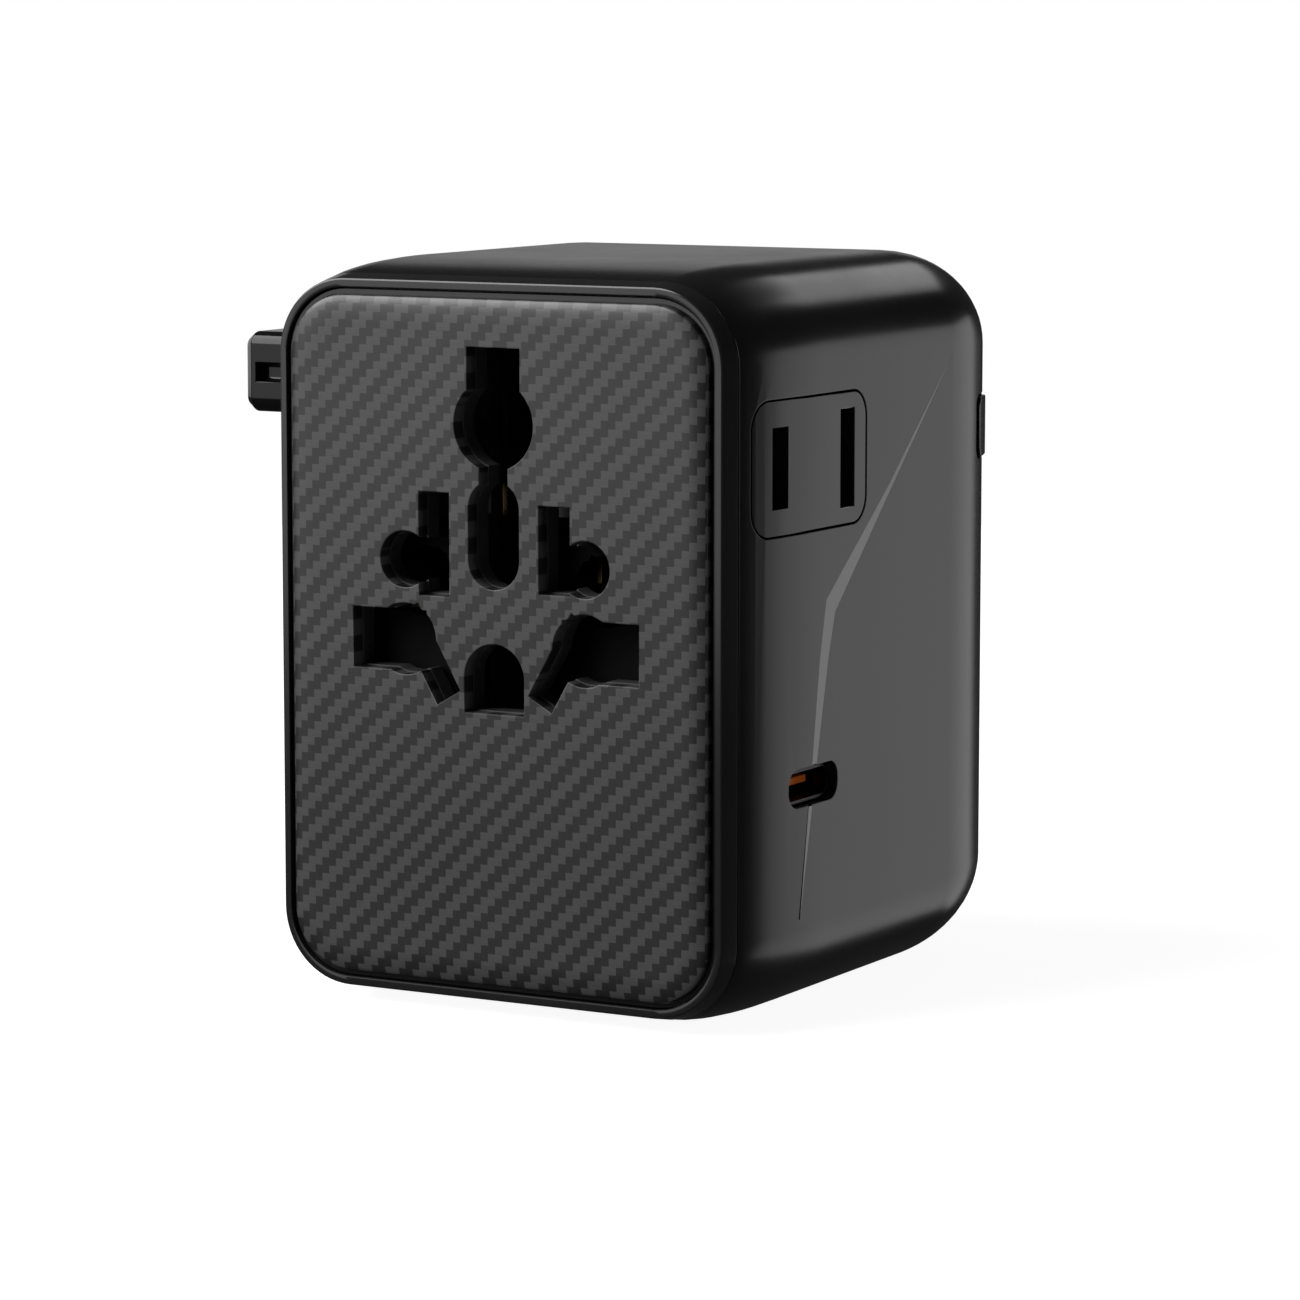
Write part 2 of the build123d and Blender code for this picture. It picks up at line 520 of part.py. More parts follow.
# ---- knobs -----------------------------------------------------------------------------------------------
CAP_X = -SIDE_X - 0.35
GROOVE_H, GROOVE_DEPTH, GROOVE_LIP = 1.8, 1.2, 1.4
for name, lane in (("uk_knob", UK_LANE), ("eu_knob", EU_LANE), ("us_knob", US_LANE)):
    z, rest_y, stroke = lane
    with BuildPart() as knob:
        with BuildSketch(side(KNOB_OUT)):
            with Locations((rest_y, z)):
                RectangleRounded(KNOB_W, KNOB_H, 1.4)
        extrude(amount=CAP_X - KNOB_OUT)
        chamfer(knob.faces().sort_by(Axis.X)[0].edges(), 1.0)
        with BuildSketch(side(KNOB_OUT + GROOVE_LIP)):  # finger grooves, front and rear
            for y in (rest_y - KNOB_W / 2, rest_y + KNOB_W / 2):
                with Locations((y, z)):
                    RectangleRounded(2 * GROOVE_DEPTH, GROOVE_H, 0.5)
        extrude(amount=6, mode=Mode.SUBTRACT)
        with BuildSketch(side(CAP_X)):  # stem, through the lane and the arm
            with Locations((rest_y, z)):
                RectangleRounded(STEM, STEM, 0.4)
        extrude(amount=ARM_X1 - CAP_X)
    save(knob.part, name)

# ---- release button on the rear right edge ----------------------------------------------------------------
FLANGE_X0, FLANGE_X1 = 18.5, 19.5
with BuildPart() as button:
    with BuildSketch(side(FLANGE_X1 - 0.2)):
        with Locations((BUTTON_Y, BUTTON_Z)):
            RectangleRounded(BUTTON_W, BUTTON_H, 0.9)
    extrude(amount=8)
    add(button_form, mode=Mode.INTERSECT)
    block(FLANGE_X0, FLANGE_X1, 21.2, 23.4, BUTTON_Z - 4.2, BUTTON_Z + 4.2)
save(button.part, "release_button")

# ---- USB port and its board -----------------------------------------------------------------------------------
USB_X0, USB_X1, USB_WALL = 17.0, 24.2, 0.35
with BuildPart() as usb_shell:
    with BuildSketch(side(USB_X0)):
        with Locations((USB_Y, USB_Z)):
            RectangleRounded(USB_W, USB_H, USB_H / 2 - 0.15)
    extrude(amount=USB_X1 - USB_X0)
    with BuildSketch(side(USB_X0 + 0.6)):
        with Locations((USB_Y, USB_Z)):
            RectangleRounded(USB_W - 2 * USB_WALL, USB_H - 2 * USB_WALL, USB_H / 2 - 0.5)
    extrude(amount=10, mode=Mode.SUBTRACT)
save(usb_shell.part, "usb_port_shell")

with BuildPart() as usb_tongue:
    with BuildSketch(side(USB_X0 + 0.6)):
        with Locations((USB_Y, USB_Z)):
            RectangleRounded(USB_W - 2 * USB_WALL - 0.2, USB_H - 2 * USB_WALL - 0.2, 1.1)
    extrude(amount=1.0)
    block(USB_X0 + 1.5, USB_X1 - 1.8, USB_Y - 3.35, USB_Y + 3.35, USB_Z - 0.35, USB_Z + 0.35)
save(usb_tongue.part, "usb_port_tongue")

usb_board_top = USB_Z - USB_H / 2
with BuildPart() as charger_board:
    block(6.0, 22.2, -23.0, -8.0, usb_board_top - BOARD, usb_board_top)
save(charger_board.part, "charger_board")

# ---- power board and what stands on it ----------------------------------------------------------------------------
with BuildPart() as power_board:
    with BuildSketch(Plane.XY.offset(POWER_TOP - BOARD)):
        RectangleRounded(35.0, 39.6, 1.5)
    extrude(amount=BOARD)
save(power_board.part, "power_board")

TRAFO_X, TRAFO_Y, CORE_W, CORE_D, CORE_H, LEG = 4.0, 11.0, 18.0, 7.0, 10.0, 4.8
WINDOW_W, WINDOW_LOW, WINDOW_HIGH = 4.4, 2.2, 7.8
with BuildPart() as transformer_core:  # ferrite frame with a middle leg
    block(TRAFO_X - CORE_W / 2, TRAFO_X + CORE_W / 2, TRAFO_Y - CORE_D / 2, TRAFO_Y + CORE_D / 2,
          POWER_TOP, POWER_TOP + CORE_H)
    for way in (-1, 1):
        x = TRAFO_X + way * (LEG + WINDOW_W) / 2
        block(x - WINDOW_W / 2, x + WINDOW_W / 2, TRAFO_Y - CORE_D, TRAFO_Y + CORE_D,
              POWER_TOP + WINDOW_LOW, POWER_TOP + WINDOW_HIGH, Mode.SUBTRACT)
save(transformer_core.part, "transformer_core")

with BuildPart() as transformer_winding:
    with BuildSketch(Plane.XY.offset(POWER_TOP + WINDOW_LOW + FIT)):
        with Locations((TRAFO_X, TRAFO_Y)):
            RectangleRounded(LEG + 2 * WINDOW_W - 0.4, CORE_D + 5.2, 2.0)
            Rectangle(LEG + 0.2, CORE_D + 0.2, mode=Mode.SUBTRACT)
    extrude(amount=WINDOW_HIGH - WINDOW_LOW - 2 * FIT)
save(transformer_winding.part, "transformer_winding")

CAP_R, CAP_LEN = 4.9, 14.4
with BuildPart() as filter_capacitors:
    for x0 in (-16.4, -0.6):
        with BuildSketch(side(x0)):
            with Locations((-14.6, POWER_TOP + CAP_R)):
                Circle(CAP_R)
        extrude(amount=CAP_LEN)
    fillet(filter_capacitors.edges().filter_by(GeomType.CIRCLE), 0.5)
save(filter_capacitors.part, "filter_capacitors")

CHOKE_X, CHOKE_Y = -12.0, 12.5
with BuildPart() as filter_choke:
    with BuildSketch(Plane.XZ.offset(-CHOKE_Y)):
        with Locations((CHOKE_X + 3.7, POWER_TOP + 2.2)):
            RectangleRounded(2.8, 4.4, 1.0)
    revolve(axis=Axis((CHOKE_X, CHOKE_Y, 0), (0, 0, 1)))
save(filter_choke.part, "filter_choke")

FUSE_X, FUSE_Y, FUSE_Z = -1.0, -3.4, POWER_TOP + 4.4
GLASS_R, CAP_END_R, FUSE_LEN, CAP_END = 2.3, 2.6, 20.0, 5.5
with BuildPart() as fuse:
    with BuildSketch(side(FUSE_X - FUSE_LEN / 2)):
        with Locations((FUSE_Y, FUSE_Z)):
            Circle(GLASS_R)
    extrude(amount=FUSE_LEN)
    for x0 in (FUSE_X - FUSE_LEN / 2, FUSE_X + FUSE_LEN / 2 - CAP_END):
        with BuildSketch(side(x0)):
            with Locations((FUSE_Y, FUSE_Z)):
                Circle(CAP_END_R)
        extrude(amount=CAP_END)
save(fuse.part, "fuse")

CLIP_W, CLIP_H = 6.4, 7.0
with BuildPart() as fuse_clips:
    for x in (FUSE_X - 7.2, FUSE_X + 7.2):
        with BuildSketch(side(x - 1.5)):
            with Locations((FUSE_Y, POWER_TOP + CLIP_H / 2)):
                Rectangle(CLIP_W, CLIP_H)
            with Locations((FUSE_Y, FUSE_Z)):
                Circle(CAP_END_R + 0.05, mode=Mode.SUBTRACT)
            with Locations((FUSE_Y, POWER_TOP + CLIP_H)):
                Rectangle(3.6, 3.0, mode=Mode.SUBTRACT)
        extrude(amount=3.0)
save(fuse_clips.part, "fuse_clips")

# ---- fasteners ----------------------------------------------------------------------------------------------------
with BuildPart() as deck_screws:
    for x, z in DECK_POSTS:
        bar(x, z, POST_R - 0.2, PANEL_BACK_Y + 0.1, PANEL_BACK_Y + 1.4)
        bar(x, z, PILOT_R, PANEL_BACK_Y + 1.3, POST_END_Y - 3)
        block(x - 1.2, x + 1.2, PANEL_BACK_Y, PANEL_BACK_Y + 0.7, z - 0.3, z + 0.3, Mode.SUBTRACT)
        block(x - 0.3, x + 0.3, PANEL_BACK_Y, PANEL_BACK_Y + 0.7, z - 1.2, z + 1.2, Mode.SUBTRACT)
save(deck_screws.part, "deck_screws")

with BuildPart() as frame_screws:
    for x, z in CARRIER_SCREWS:
        bar(x, z, 1.9, FRAME_Y1, FRAME_Y1 + 1.2)
        bar(x, z, 0.9, CARRIER_Y1 - 4.5, FRAME_Y1 + 0.1)
save(frame_screws.part, "frame_screws")
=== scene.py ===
from math import cos, pi, radians, sin

import bmesh
import bpy
from mathutils import Matrix, Vector


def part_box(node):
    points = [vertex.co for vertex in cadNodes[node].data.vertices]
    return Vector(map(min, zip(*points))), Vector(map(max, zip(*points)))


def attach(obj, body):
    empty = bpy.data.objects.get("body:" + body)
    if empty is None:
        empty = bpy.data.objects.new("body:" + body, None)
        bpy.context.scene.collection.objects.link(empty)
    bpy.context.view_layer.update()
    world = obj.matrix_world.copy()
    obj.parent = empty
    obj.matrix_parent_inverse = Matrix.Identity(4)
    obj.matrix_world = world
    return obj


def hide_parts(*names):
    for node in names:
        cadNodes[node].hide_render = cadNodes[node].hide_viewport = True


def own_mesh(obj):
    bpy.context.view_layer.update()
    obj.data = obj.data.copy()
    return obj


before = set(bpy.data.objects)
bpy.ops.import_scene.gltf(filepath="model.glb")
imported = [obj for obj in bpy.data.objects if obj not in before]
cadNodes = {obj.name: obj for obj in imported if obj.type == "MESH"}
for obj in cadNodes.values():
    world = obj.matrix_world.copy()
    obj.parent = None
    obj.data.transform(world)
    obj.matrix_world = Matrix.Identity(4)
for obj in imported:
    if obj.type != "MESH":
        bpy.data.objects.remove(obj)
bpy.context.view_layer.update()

# Universal travel adapter. Lengths in this script are millimetres until a piece is finished.
mm = 0.001
joinGap = 20.0  # how far apart two rings stand while they are joined
smallestShare = 0.8  # the least share of a replaced node's extent that a finished piece may have
print("frame loaded,", len(cadNodes), "nodes")


def span(node):  # lowest and highest corner of a node, in millimetres
    low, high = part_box(node)
    return low / mm, high / mm


# making shapes
# an outline lies in local XY and is pushed along local Z; these turn it to the front or the side
facing = {
    "front": Matrix(((1, 0, 0), (0, 0, 1), (0, 1, 0))).to_4x4(),
    "side": Matrix(((0, 0, 1), (1, 0, 0), (0, 1, 0))).to_4x4(),
}


def faceOutward(bm):  # a closed shape with its normals pointing out, whatever the operator guessed
    bmesh.ops.recalc_face_normals(bm, faces=bm.faces)
    if bm.calc_volume(signed=True) < 0:
        bmesh.ops.reverse_faces(bm, faces=bm.faces)
    return bm


def outline(size, radius=0.0, arc=10):  # one flat face, a rectangle with round corners or a circle
    bm = bmesh.new()
    if radius and size[0] == size[1] == 2 * radius:
        bmesh.ops.create_circle(bm, cap_ends=True, radius=radius, segments=4 * arc)
        return bm
    bmesh.ops.create_grid(bm, x_segments=1, y_segments=1, size=0.5)
    bmesh.ops.scale(bm, verts=bm.verts, vec=(size[0], size[1], 1))
    if radius:
        bmesh.ops.bevel(bm, geom=list(bm.verts), offset=radius, offset_type="OFFSET",
                        affect="VERTICES", segments=arc, profile=0.5, material=-1)
        bmesh.ops.remove_doubles(bm, verts=bm.verts, dist=1e-4)
    return bm


def prism(size, low, high, centre=(0, 0), radius=0.0, turn=0.0, face="front", arc=10):
    bm = outline(size, radius, arc)
    pushed = bmesh.ops.extrude_face_region(bm, geom=list(bm.faces))
    top = [item for item in pushed["geom"] if isinstance(item, bmesh.types.BMVert)]
    bmesh.ops.translate(bm, verts=top, vec=(0, 0, high - low))
    bmesh.ops.rotate(bm, verts=bm.verts, matrix=Matrix.Rotation(radians(turn), 3, "Z"))
    bmesh.ops.translate(bm, verts=bm.verts, vec=(centre[0], centre[1], low))
    bmesh.ops.transform(bm, matrix=facing[face], verts=bm.verts)
    return faceOutward(bm)


def setLevel(ring, y):
    for edge in ring:
        for vertex in edge.verts:
            vertex.co.y = y


def stack(stations, centreZ, arc=14, closed=False):  # rings along Y, each y, width, height, radius
    bm = bmesh.new()
    rings, caps = [], []
    for y, width, height, radius in stations:
        shape = outline((width, height), radius, arc)
        bmesh.ops.translate(shape, verts=shape.verts, vec=(0, centreZ, y))
        bmesh.ops.transform(shape, matrix=facing["front"], verts=shape.verts)
        flat = bpy.data.meshes.new("ring")
        shape.to_mesh(flat)
        shape.free()
        edgeCount, faceCount = len(bm.edges), len(bm.faces)
        bm.from_mesh(flat)
        bpy.data.meshes.remove(flat)
        bm.edges.ensure_lookup_table()
        bm.faces.ensure_lookup_table()
        rings.append(list(bm.edges)[edgeCount:])
        caps.append(list(bm.faces)[faceCount:])
    hidden = caps if closed else caps[1:-1]
    bmesh.ops.delete(bm, geom=[cap for group in hidden for cap in group], context="FACES_ONLY")
    pairs = list(zip(rings, rings[1:]))
    if closed:
        pairs.append((rings[-1], rings[0]))
    for one, other in pairs:  # joined while they stand apart: two rings in one plane can join with a twist
        setLevel(one, 0.0)
        setLevel(other, joinGap)
        bmesh.ops.bridge_loops(bm, edges=one + other)
    for ring, station in zip(rings, stations):
        setLevel(ring, station[0])
    return faceOutward(bm)


def asObject(bm, name):
    mesh = bpy.data.meshes.new(name)
    bm.to_mesh(mesh)
    bm.free()
    piece = bpy.data.objects.new(name, mesh)
    bpy.context.scene.collection.objects.link(piece)
    return piece


def settle(piece):  # turns a piece's modifiers into mesh
    bpy.context.view_layer.update()
    shaped = piece.evaluated_get(bpy.context.evaluated_depsgraph_get())
    mesh = bpy.data.meshes.new_from_object(shaped)
    old = piece.data
    piece.modifiers.clear()
    piece.data = mesh
    bpy.data.meshes.remove(old)


def carve(piece, tools, operation="DIFFERENCE"):
    for bm in tools:
        cutter = asObject(bm, "cutter")
        cut = piece.modifiers.new("cut", "BOOLEAN")
        cut.operation = operation
        cut.solver = "EXACT"
        cut.object = cutter
        settle(piece)
        bpy.data.objects.remove(cutter)


def soften(piece, width, steps=2, angle=35, chosen=None):  # rounds the sharp edges that chosen accepts
    bm = bmesh.new()
    bm.from_mesh(piece.data)
    bmesh.ops.remove_doubles(bm, verts=bm.verts, dist=1e-4)
    bmesh.ops.dissolve_degenerate(bm, edges=bm.edges, dist=1e-4)
    sharp = [edge for edge in bm.edges if len(edge.link_faces) == 2
             and edge.calc_face_angle(0) > radians(angle) and (chosen is None or chosen(edge))]
    bmesh.ops.bevel(bm, geom=sharp, offset=width, offset_type="OFFSET", affect="EDGES",
                    segments=steps, profile=0.5, material=-1, clamp_overlap=False)
    bm.to_mesh(piece.data)
    bm.free()


def checkExtent(piece, node):  # stops the script if a cut has collapsed a piece
    low, high = span(node)
    spots = [vertex.co for vertex in piece.data.vertices]
    for axis in range(3):
        values = [spot[axis] for spot in spots]
        if max(values) - min(values) < smallestShare * (high[axis] - low[axis]):
            raise ValueError(piece.name + " is much smaller than " + node)


def finishPiece(piece, body, replaced, materials, smoothAngle=32):
    for node in replaced:
        checkExtent(piece, node)
    piece.data.transform(Matrix.Scale(mm, 4))
    piece.data.materials.clear()
    for material in materials:
        piece.data.materials.append(material)
    piece.data.shade_smooth()
    piece.data.set_sharp_from_angle(angle=radians(smoothAngle))
    weighted = piece.modifiers.new("even shading", "WEIGHTED_NORMAL")
    weighted.keep_sharp = True
    weighted.weight = 80
    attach(piece, body)
    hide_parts(*replaced)
    return piece


def copyNode(node, name):  # an editable copy of a CAD node, merged, in millimetres
    bm = bmesh.new()
    bm.from_mesh(cadNodes[node].data)
    bmesh.ops.scale(bm, verts=bm.verts, vec=(1 / mm, 1 / mm, 1 / mm))
    bmesh.ops.remove_doubles(bm, verts=bm.verts, dist=1e-3)
    bmesh.ops.dissolve_limit(bm, angle_limit=radians(1), verts=bm.verts, edges=bm.edges)
    return asObject(bm, name)


# shared shading effects
class Tree:  # a short way to write nodes and links in a material or a group
    def __init__(self, tree):
        self.tree = tree

    def add(self, kind, values=None, **settings):
        node = self.tree.nodes.new(kind)
        for key, value in settings.items():
            setattr(node, key, value)
        for key, value in (values or {}).items():
            if isinstance(value, bpy.types.NodeSocket):
                self.tree.links.new(value, node.inputs[key])
            else:
                node.inputs[key].default_value = value
        return node

    def math(self, operation, one, two=0.0):
        return self.add("ShaderNodeMath", {0: one, 1: two}, operation=operation).outputs[0]

    def ranged(self, value, low, high, toLow, toHigh):
        return self.add("ShaderNodeMapRange", {0: value, 1: low, 2: high, 3: toLow, 4: toHigh}).outputs[0]

    def mixed(self, factor, one, two):
        node = self.add("ShaderNodeMix", data_type="RGBA")
        for index, value in ((0, factor), (6, one), (7, two)):
            if isinstance(value, bpy.types.NodeSocket):
                self.tree.links.new(value, node.inputs[index])
            else:
                node.inputs[index].default_value = value
        return node.outputs[2]

    def place(self, scale=(1, 1, 1)):
        spot = self.add("ShaderNodeTexCoord").outputs["Object"]
        return self.add("ShaderNodeMapping", {"Vector": spot, "Scale": scale}).outputs[0]


def newGroup(name, inputs, outputs):
    tree = bpy.data.node_groups.new(name, "ShaderNodeTree")
    for label, value in inputs.items():
        socket = tree.interface.new_socket(label, in_out="INPUT", socket_type="NodeSocketFloat")
        socket.default_value = value
    for label in outputs:
        tree.interface.new_socket(label, in_out="OUTPUT", socket_type="NodeSocketFloat")
    made = Tree(tree)
    return tree, made, made.add("NodeGroupInput").outputs, made.add("NodeGroupOutput").inputs


# moulded grain: fine even pits over a soft ripple
grainTree, made, given, result = newGroup("mouldedGrain", {"Scale": 6000.0}, ["Height"])
fine = made.add("ShaderNodeTexNoise", {"Vector": made.place(), "Scale": given["Scale"], "Detail": 3.0})
ripple = made.add("ShaderNodeTexNoise", {"Vector": made.place(), "Scale": 260.0, "Detail": 1.0})
grainTree.links.new(made.math("ADD", made.math("MULTIPLY", fine.outputs[0], 0.6),
                              made.math("MULTIPLY", ripple.outputs[0], 0.15)), result["Height"])

# worn edges and a painted edge highlight: where the rounded normal leaves the true one, broken up by noise
wearHighlightTree, made, given, result = newGroup("edgeWearAndHighlight", {"Radius": 0.0002, "Gain": 4.0}, ["Mask"])
rounded = made.add("ShaderNodeBevel", {"Radius": given["Radius"]}, samples=4).outputs[0]
flatNormal = made.add("ShaderNodeNewGeometry").outputs["Normal"]
turned = made.add("ShaderNodeVectorMath", {0: rounded, 1: flatNormal},
                  operation="DOT_PRODUCT").outputs["Value"]
edge = made.math("MULTIPLY", made.math("SUBTRACT", 1.0, turned), given["Gain"])
patch = made.add("ShaderNodeTexNoise", {"Vector": made.place(), "Scale": 420.0, "Detail": 4.0}).outputs[0]
broken = made.math("MULTIPLY", edge, made.ranged(patch, 0.35, 0.65, 0.3, 1.0))
wearHighlightTree.links.new(made.math("MINIMUM", broken, 1.0), result["Mask"])

# handling: broad faint smears with a few finer streaks
smearTree, made, given, result = newGroup("handling", {"Scale": 60.0}, ["Mask"])
broad = made.add("ShaderNodeTexNoise", {"Vector": made.place((1, 1, 0.6)), "Scale": given["Scale"],
                                        "Detail": 3.0, "Distortion": 0.6}).outputs[0]
streak = made.add("ShaderNodeTexNoise", {"Vector": made.place((6, 6, 1)), "Scale": 180.0,
                                         "Detail": 2.0}).outputs[0]
both = made.math("ADD", made.math("MULTIPLY", broad, 0.75), made.math("MULTIPLY", streak, 0.25))
smearTree.links.new(made.ranged(both, 0.35, 0.65, 0.0, 1.0), result["Mask"])


def shade(value):  # a neutral or given colour with full alpha
    red, green, blue = (value, value, value) if isinstance(value, float) else value
    return (red, green, blue, 1.0)


def newMaterial(name, steady):
    material = bpy.data.materials.new(name)
    material.use_nodes = True
    tree = Tree(material.node_tree)
    surface = material.node_tree.nodes["Principled BSDF"]
    for key, value in steady.items():
        surface.inputs[key].default_value = value
    return material, tree, surface


def useGroup(tree, group, values):
    node = tree.add("ShaderNodeGroup", node_tree=group)
    for key, value in values.items():
        node.inputs[key].default_value = value
    return node.outputs[0]


def moulded(name, look):  # plastic and similar: grain, handling, and edge wear with a painted edge highlight over one colour
    material, tree, surface = newMaterial(name, look.get("steady", {}))
    wearAndHighlight = useGroup(tree, wearHighlightTree, {"Radius": look.get("wearRadius", 0.0002),
                                     "Gain": look.get("wearAndHighlight", 2.0)})
    smear = useGroup(tree, smearTree, {"Scale": look.get("smear", 60.0)})
    grain = useGroup(tree, grainTree, {"Scale": look.get("grain", 6000.0)})
    base, tint = look["colour"], look.get("tint", 1.12)
    toned = tree.mixed(smear, shade(base), shade(tuple(c * tint for c in shade(base)[:3])))
    colour = tree.mixed(wearAndHighlight, toned, shade(look["wearHighlightTone"]))
    low, high = look["roughness"]
    rough = tree.ranged(smear, 0.0, 1.0, low, high)
    bump = tree.add("ShaderNodeBump", {"Height": grain, "Strength": look.get("relief", 0.25),
                                       "Distance": look.get("depth", 0.00002)})
    links = material.node_tree.links
    links.new(colour, surface.inputs["Base Color"])
    links.new(rough, surface.inputs["Roughness"])
    links.new(bump.outputs[0], surface.inputs["Normal"])
    return material


# the edge colour and gain in each look lighten the edges: partly wear, partly a painted edge highlight
bodySatin = moulded("bodySatin", {"colour": 0.008, "wearHighlightTone": 0.03, "roughness": (0.20, 0.24), "relief": 0.05,
                                  "wearAndHighlight": 0.5, "steady": {"IOR": 1.5}})
accentSatin = moulded("accentSatin", {"colour": 0.17, "wearHighlightTone": 0.22, "roughness": (0.26, 0.32),
                                      "relief": 0.1, "steady": {"Metallic": 1.0}})
bezelGloss = moulded("bezelGloss", {"colour": 0.014, "wearHighlightTone": 0.03, "roughness": (0.12, 0.17),
                                    "relief": 0.04, "wearAndHighlight": 0.8})
blackGloss = moulded("blackGloss", {"colour": 0.006, "wearHighlightTone": 0.02, "roughness": (0.07, 0.12),
                                    "relief": 0.04, "wearAndHighlight": 0.8, "steady": {"Specular IOR Level": 0.25}})
deckGrey = moulded("deckGrey", {"colour": 0.05, "wearHighlightTone": 0.10, "roughness": (0.32, 0.42), "relief": 0.2})
innerBlack = moulded("innerBlack", {"colour": 0.022, "wearHighlightTone": 0.05, "roughness": (0.42, 0.55),
                                    "relief": 0.3})
# the shutter's near-black colour is painted shade, standing for the dark deep inside the socket holes
shutterPaintedShade = moulded("shutterPaintedShade", {"colour": 0.0012, "wearHighlightTone": 0.003, "roughness": (0.6, 0.7),
                                        "steady": {"Specular IOR Level": 0.1}})
pinSleeve = moulded("pinSleeve", {"colour": 0.012, "wearHighlightTone": 0.04, "roughness": (0.34, 0.44)})
orangePlastic = moulded("orangePlastic", {"colour": (0.80, 0.17, 0.015), "wearHighlightTone": (0.9, 0.35, 0.1),
                                          "roughness": (0.32, 0.42)})
capSleeve = moulded("capSleeve", {"colour": (0.015, 0.022, 0.06), "wearHighlightTone": (0.1, 0.1, 0.14),
                                  "roughness": (0.25, 0.35), "relief": 0.1})
print("plastics ready")


def metal(name, look):  # plate and sheet: fine drawn lines, stains, and bright edges that are partly wear and partly a painted highlight
    material, tree, surface = newMaterial(name, {"Metallic": 1.0, **look.get("steady", {})})
    lines = tree.add("ShaderNodeTexNoise", {"Vector": tree.place(look["draw"]), "Scale": 900.0,
                                            "Detail": 3.0}).outputs[0]
    stain = useGroup(tree, smearTree, {"Scale": look.get("stain", 130.0)})
    wearAndHighlight = useGroup(tree, wearHighlightTree, {"Radius": 0.00018, "Gain": 2.5})
    toned = tree.mixed(stain, shade(look["colour"]), shade(look["dull"]))
    colour = tree.mixed(wearAndHighlight, toned, shade(look["bright"]))
    low, high = look["roughness"]
    rough = tree.math("ADD", tree.ranged(lines, 0.3, 0.7, low, high), tree.math("MULTIPLY", stain, 0.06))
    bump = tree.add("ShaderNodeBump", {"Height": lines, "Strength": 0.15, "Distance": 0.00001})
    links = material.node_tree.links
    links.new(colour, surface.inputs["Base Color"])
    links.new(rough, surface.inputs["Roughness"])
    links.new(bump.outputs[0], surface.inputs["Normal"])
    return material


pinNickel = metal("pinNickel", {"colour": (0.62, 0.60, 0.56), "dull": (0.5, 0.47, 0.42),
                                "bright": (0.8, 0.78, 0.74), "roughness": (0.16, 0.26),
                                "draw": (6, 0.4, 6)})
stampedBrass = metal("stampedBrass", {"colour": (0.26, 0.18, 0.08), "dull": (0.14, 0.09, 0.04),
                                      "bright": (0.45, 0.35, 0.2), "roughness": (0.24, 0.36),
                                      "draw": (2, 2, 2)})
plainSteel = metal("plainSteel", {"colour": (0.46, 0.46, 0.47), "dull": (0.32, 0.32, 0.33),
                                  "bright": (0.66, 0.66, 0.67), "roughness": (0.26, 0.38),
                                  "draw": (5, 0.5, 5)})
portShell = metal("portShell", {"colour": (0.05, 0.045, 0.045), "dull": (0.03, 0.028, 0.028),
                                "bright": (0.22, 0.2, 0.2), "roughness": (0.3, 0.4), "draw": (0.5, 5, 5)})


# twill weave printed on the socket panel: rows that step one cell each time
weaveLook = {"cell": 0.75 * mm, "light": 0.058, "dark": 0.014, "relief": 0.10, "depth": 0.03 * mm}


def twill():
    material, tree, surface = newMaterial("twillPanel", {"Coat Weight": 0.35, "Coat Roughness": 0.22,
                                                         "IOR": 1.45})
    parts = tree.add("ShaderNodeSeparateXYZ", {0: tree.place()}).outputs
    across = tree.math("DIVIDE", parts[0], weaveLook["cell"])
    up = tree.math("DIVIDE", parts[2], weaveLook["cell"])
    step = tree.math("SUBTRACT", tree.math("FLOOR", across), tree.math("FLOOR", up))
    over = tree.math("LESS_THAN", tree.math("FLOORED_MODULO", step, 4.0), 1.5)
    weftRound = tree.math("SINE", tree.math("MULTIPLY", tree.math("FRACT", up), pi))
    warpRound = tree.math("SINE", tree.math("MULTIPLY", tree.math("FRACT", across), pi))
    crown = tree.math("ADD", tree.math("MULTIPLY", over, weftRound),
                      tree.math("MULTIPLY", tree.math("SUBTRACT", 1.0, over), warpRound))
    weft = tree.add("ShaderNodeTexNoise", {"Vector": tree.place((0.3, 1, 6)), "Scale": 2200.0}).outputs[0]
    warp = tree.add("ShaderNodeTexNoise", {"Vector": tree.place((6, 1, 0.3)), "Scale": 2200.0}).outputs[0]
    light = tree.mixed(tree.ranged(weft, 0.3, 0.7, 0.0, 1.0), shade(weaveLook["light"] * 0.88),
                       shade(weaveLook["light"] * 1.12))
    dark = tree.mixed(tree.ranged(warp, 0.3, 0.7, 0.0, 1.0), shade(weaveLook["dark"] * 0.8),
                      shade(weaveLook["dark"] * 1.2))
    toned = tree.mixed(over, dark, light)
    # edges lightened to 0.10: partly wear, partly a painted edge highlight
    wearAndHighlight = useGroup(tree, wearHighlightTree, {"Radius": 0.0002, "Gain": 1.2})
    smear = useGroup(tree, smearTree, {"Scale": 70.0})
    links = material.node_tree.links
    links.new(tree.mixed(wearAndHighlight, toned, shade(0.10)), surface.inputs["Base Color"])
    links.new(tree.ranged(smear, 0.0, 1.0, 0.34, 0.42), surface.inputs["Roughness"])
    bump = tree.add("ShaderNodeBump", {"Height": crown, "Strength": weaveLook["relief"],
                                       "Distance": weaveLook["depth"]})
    links.new(bump.outputs[0], surface.inputs["Normal"])
    return material


twillPanel = twill()


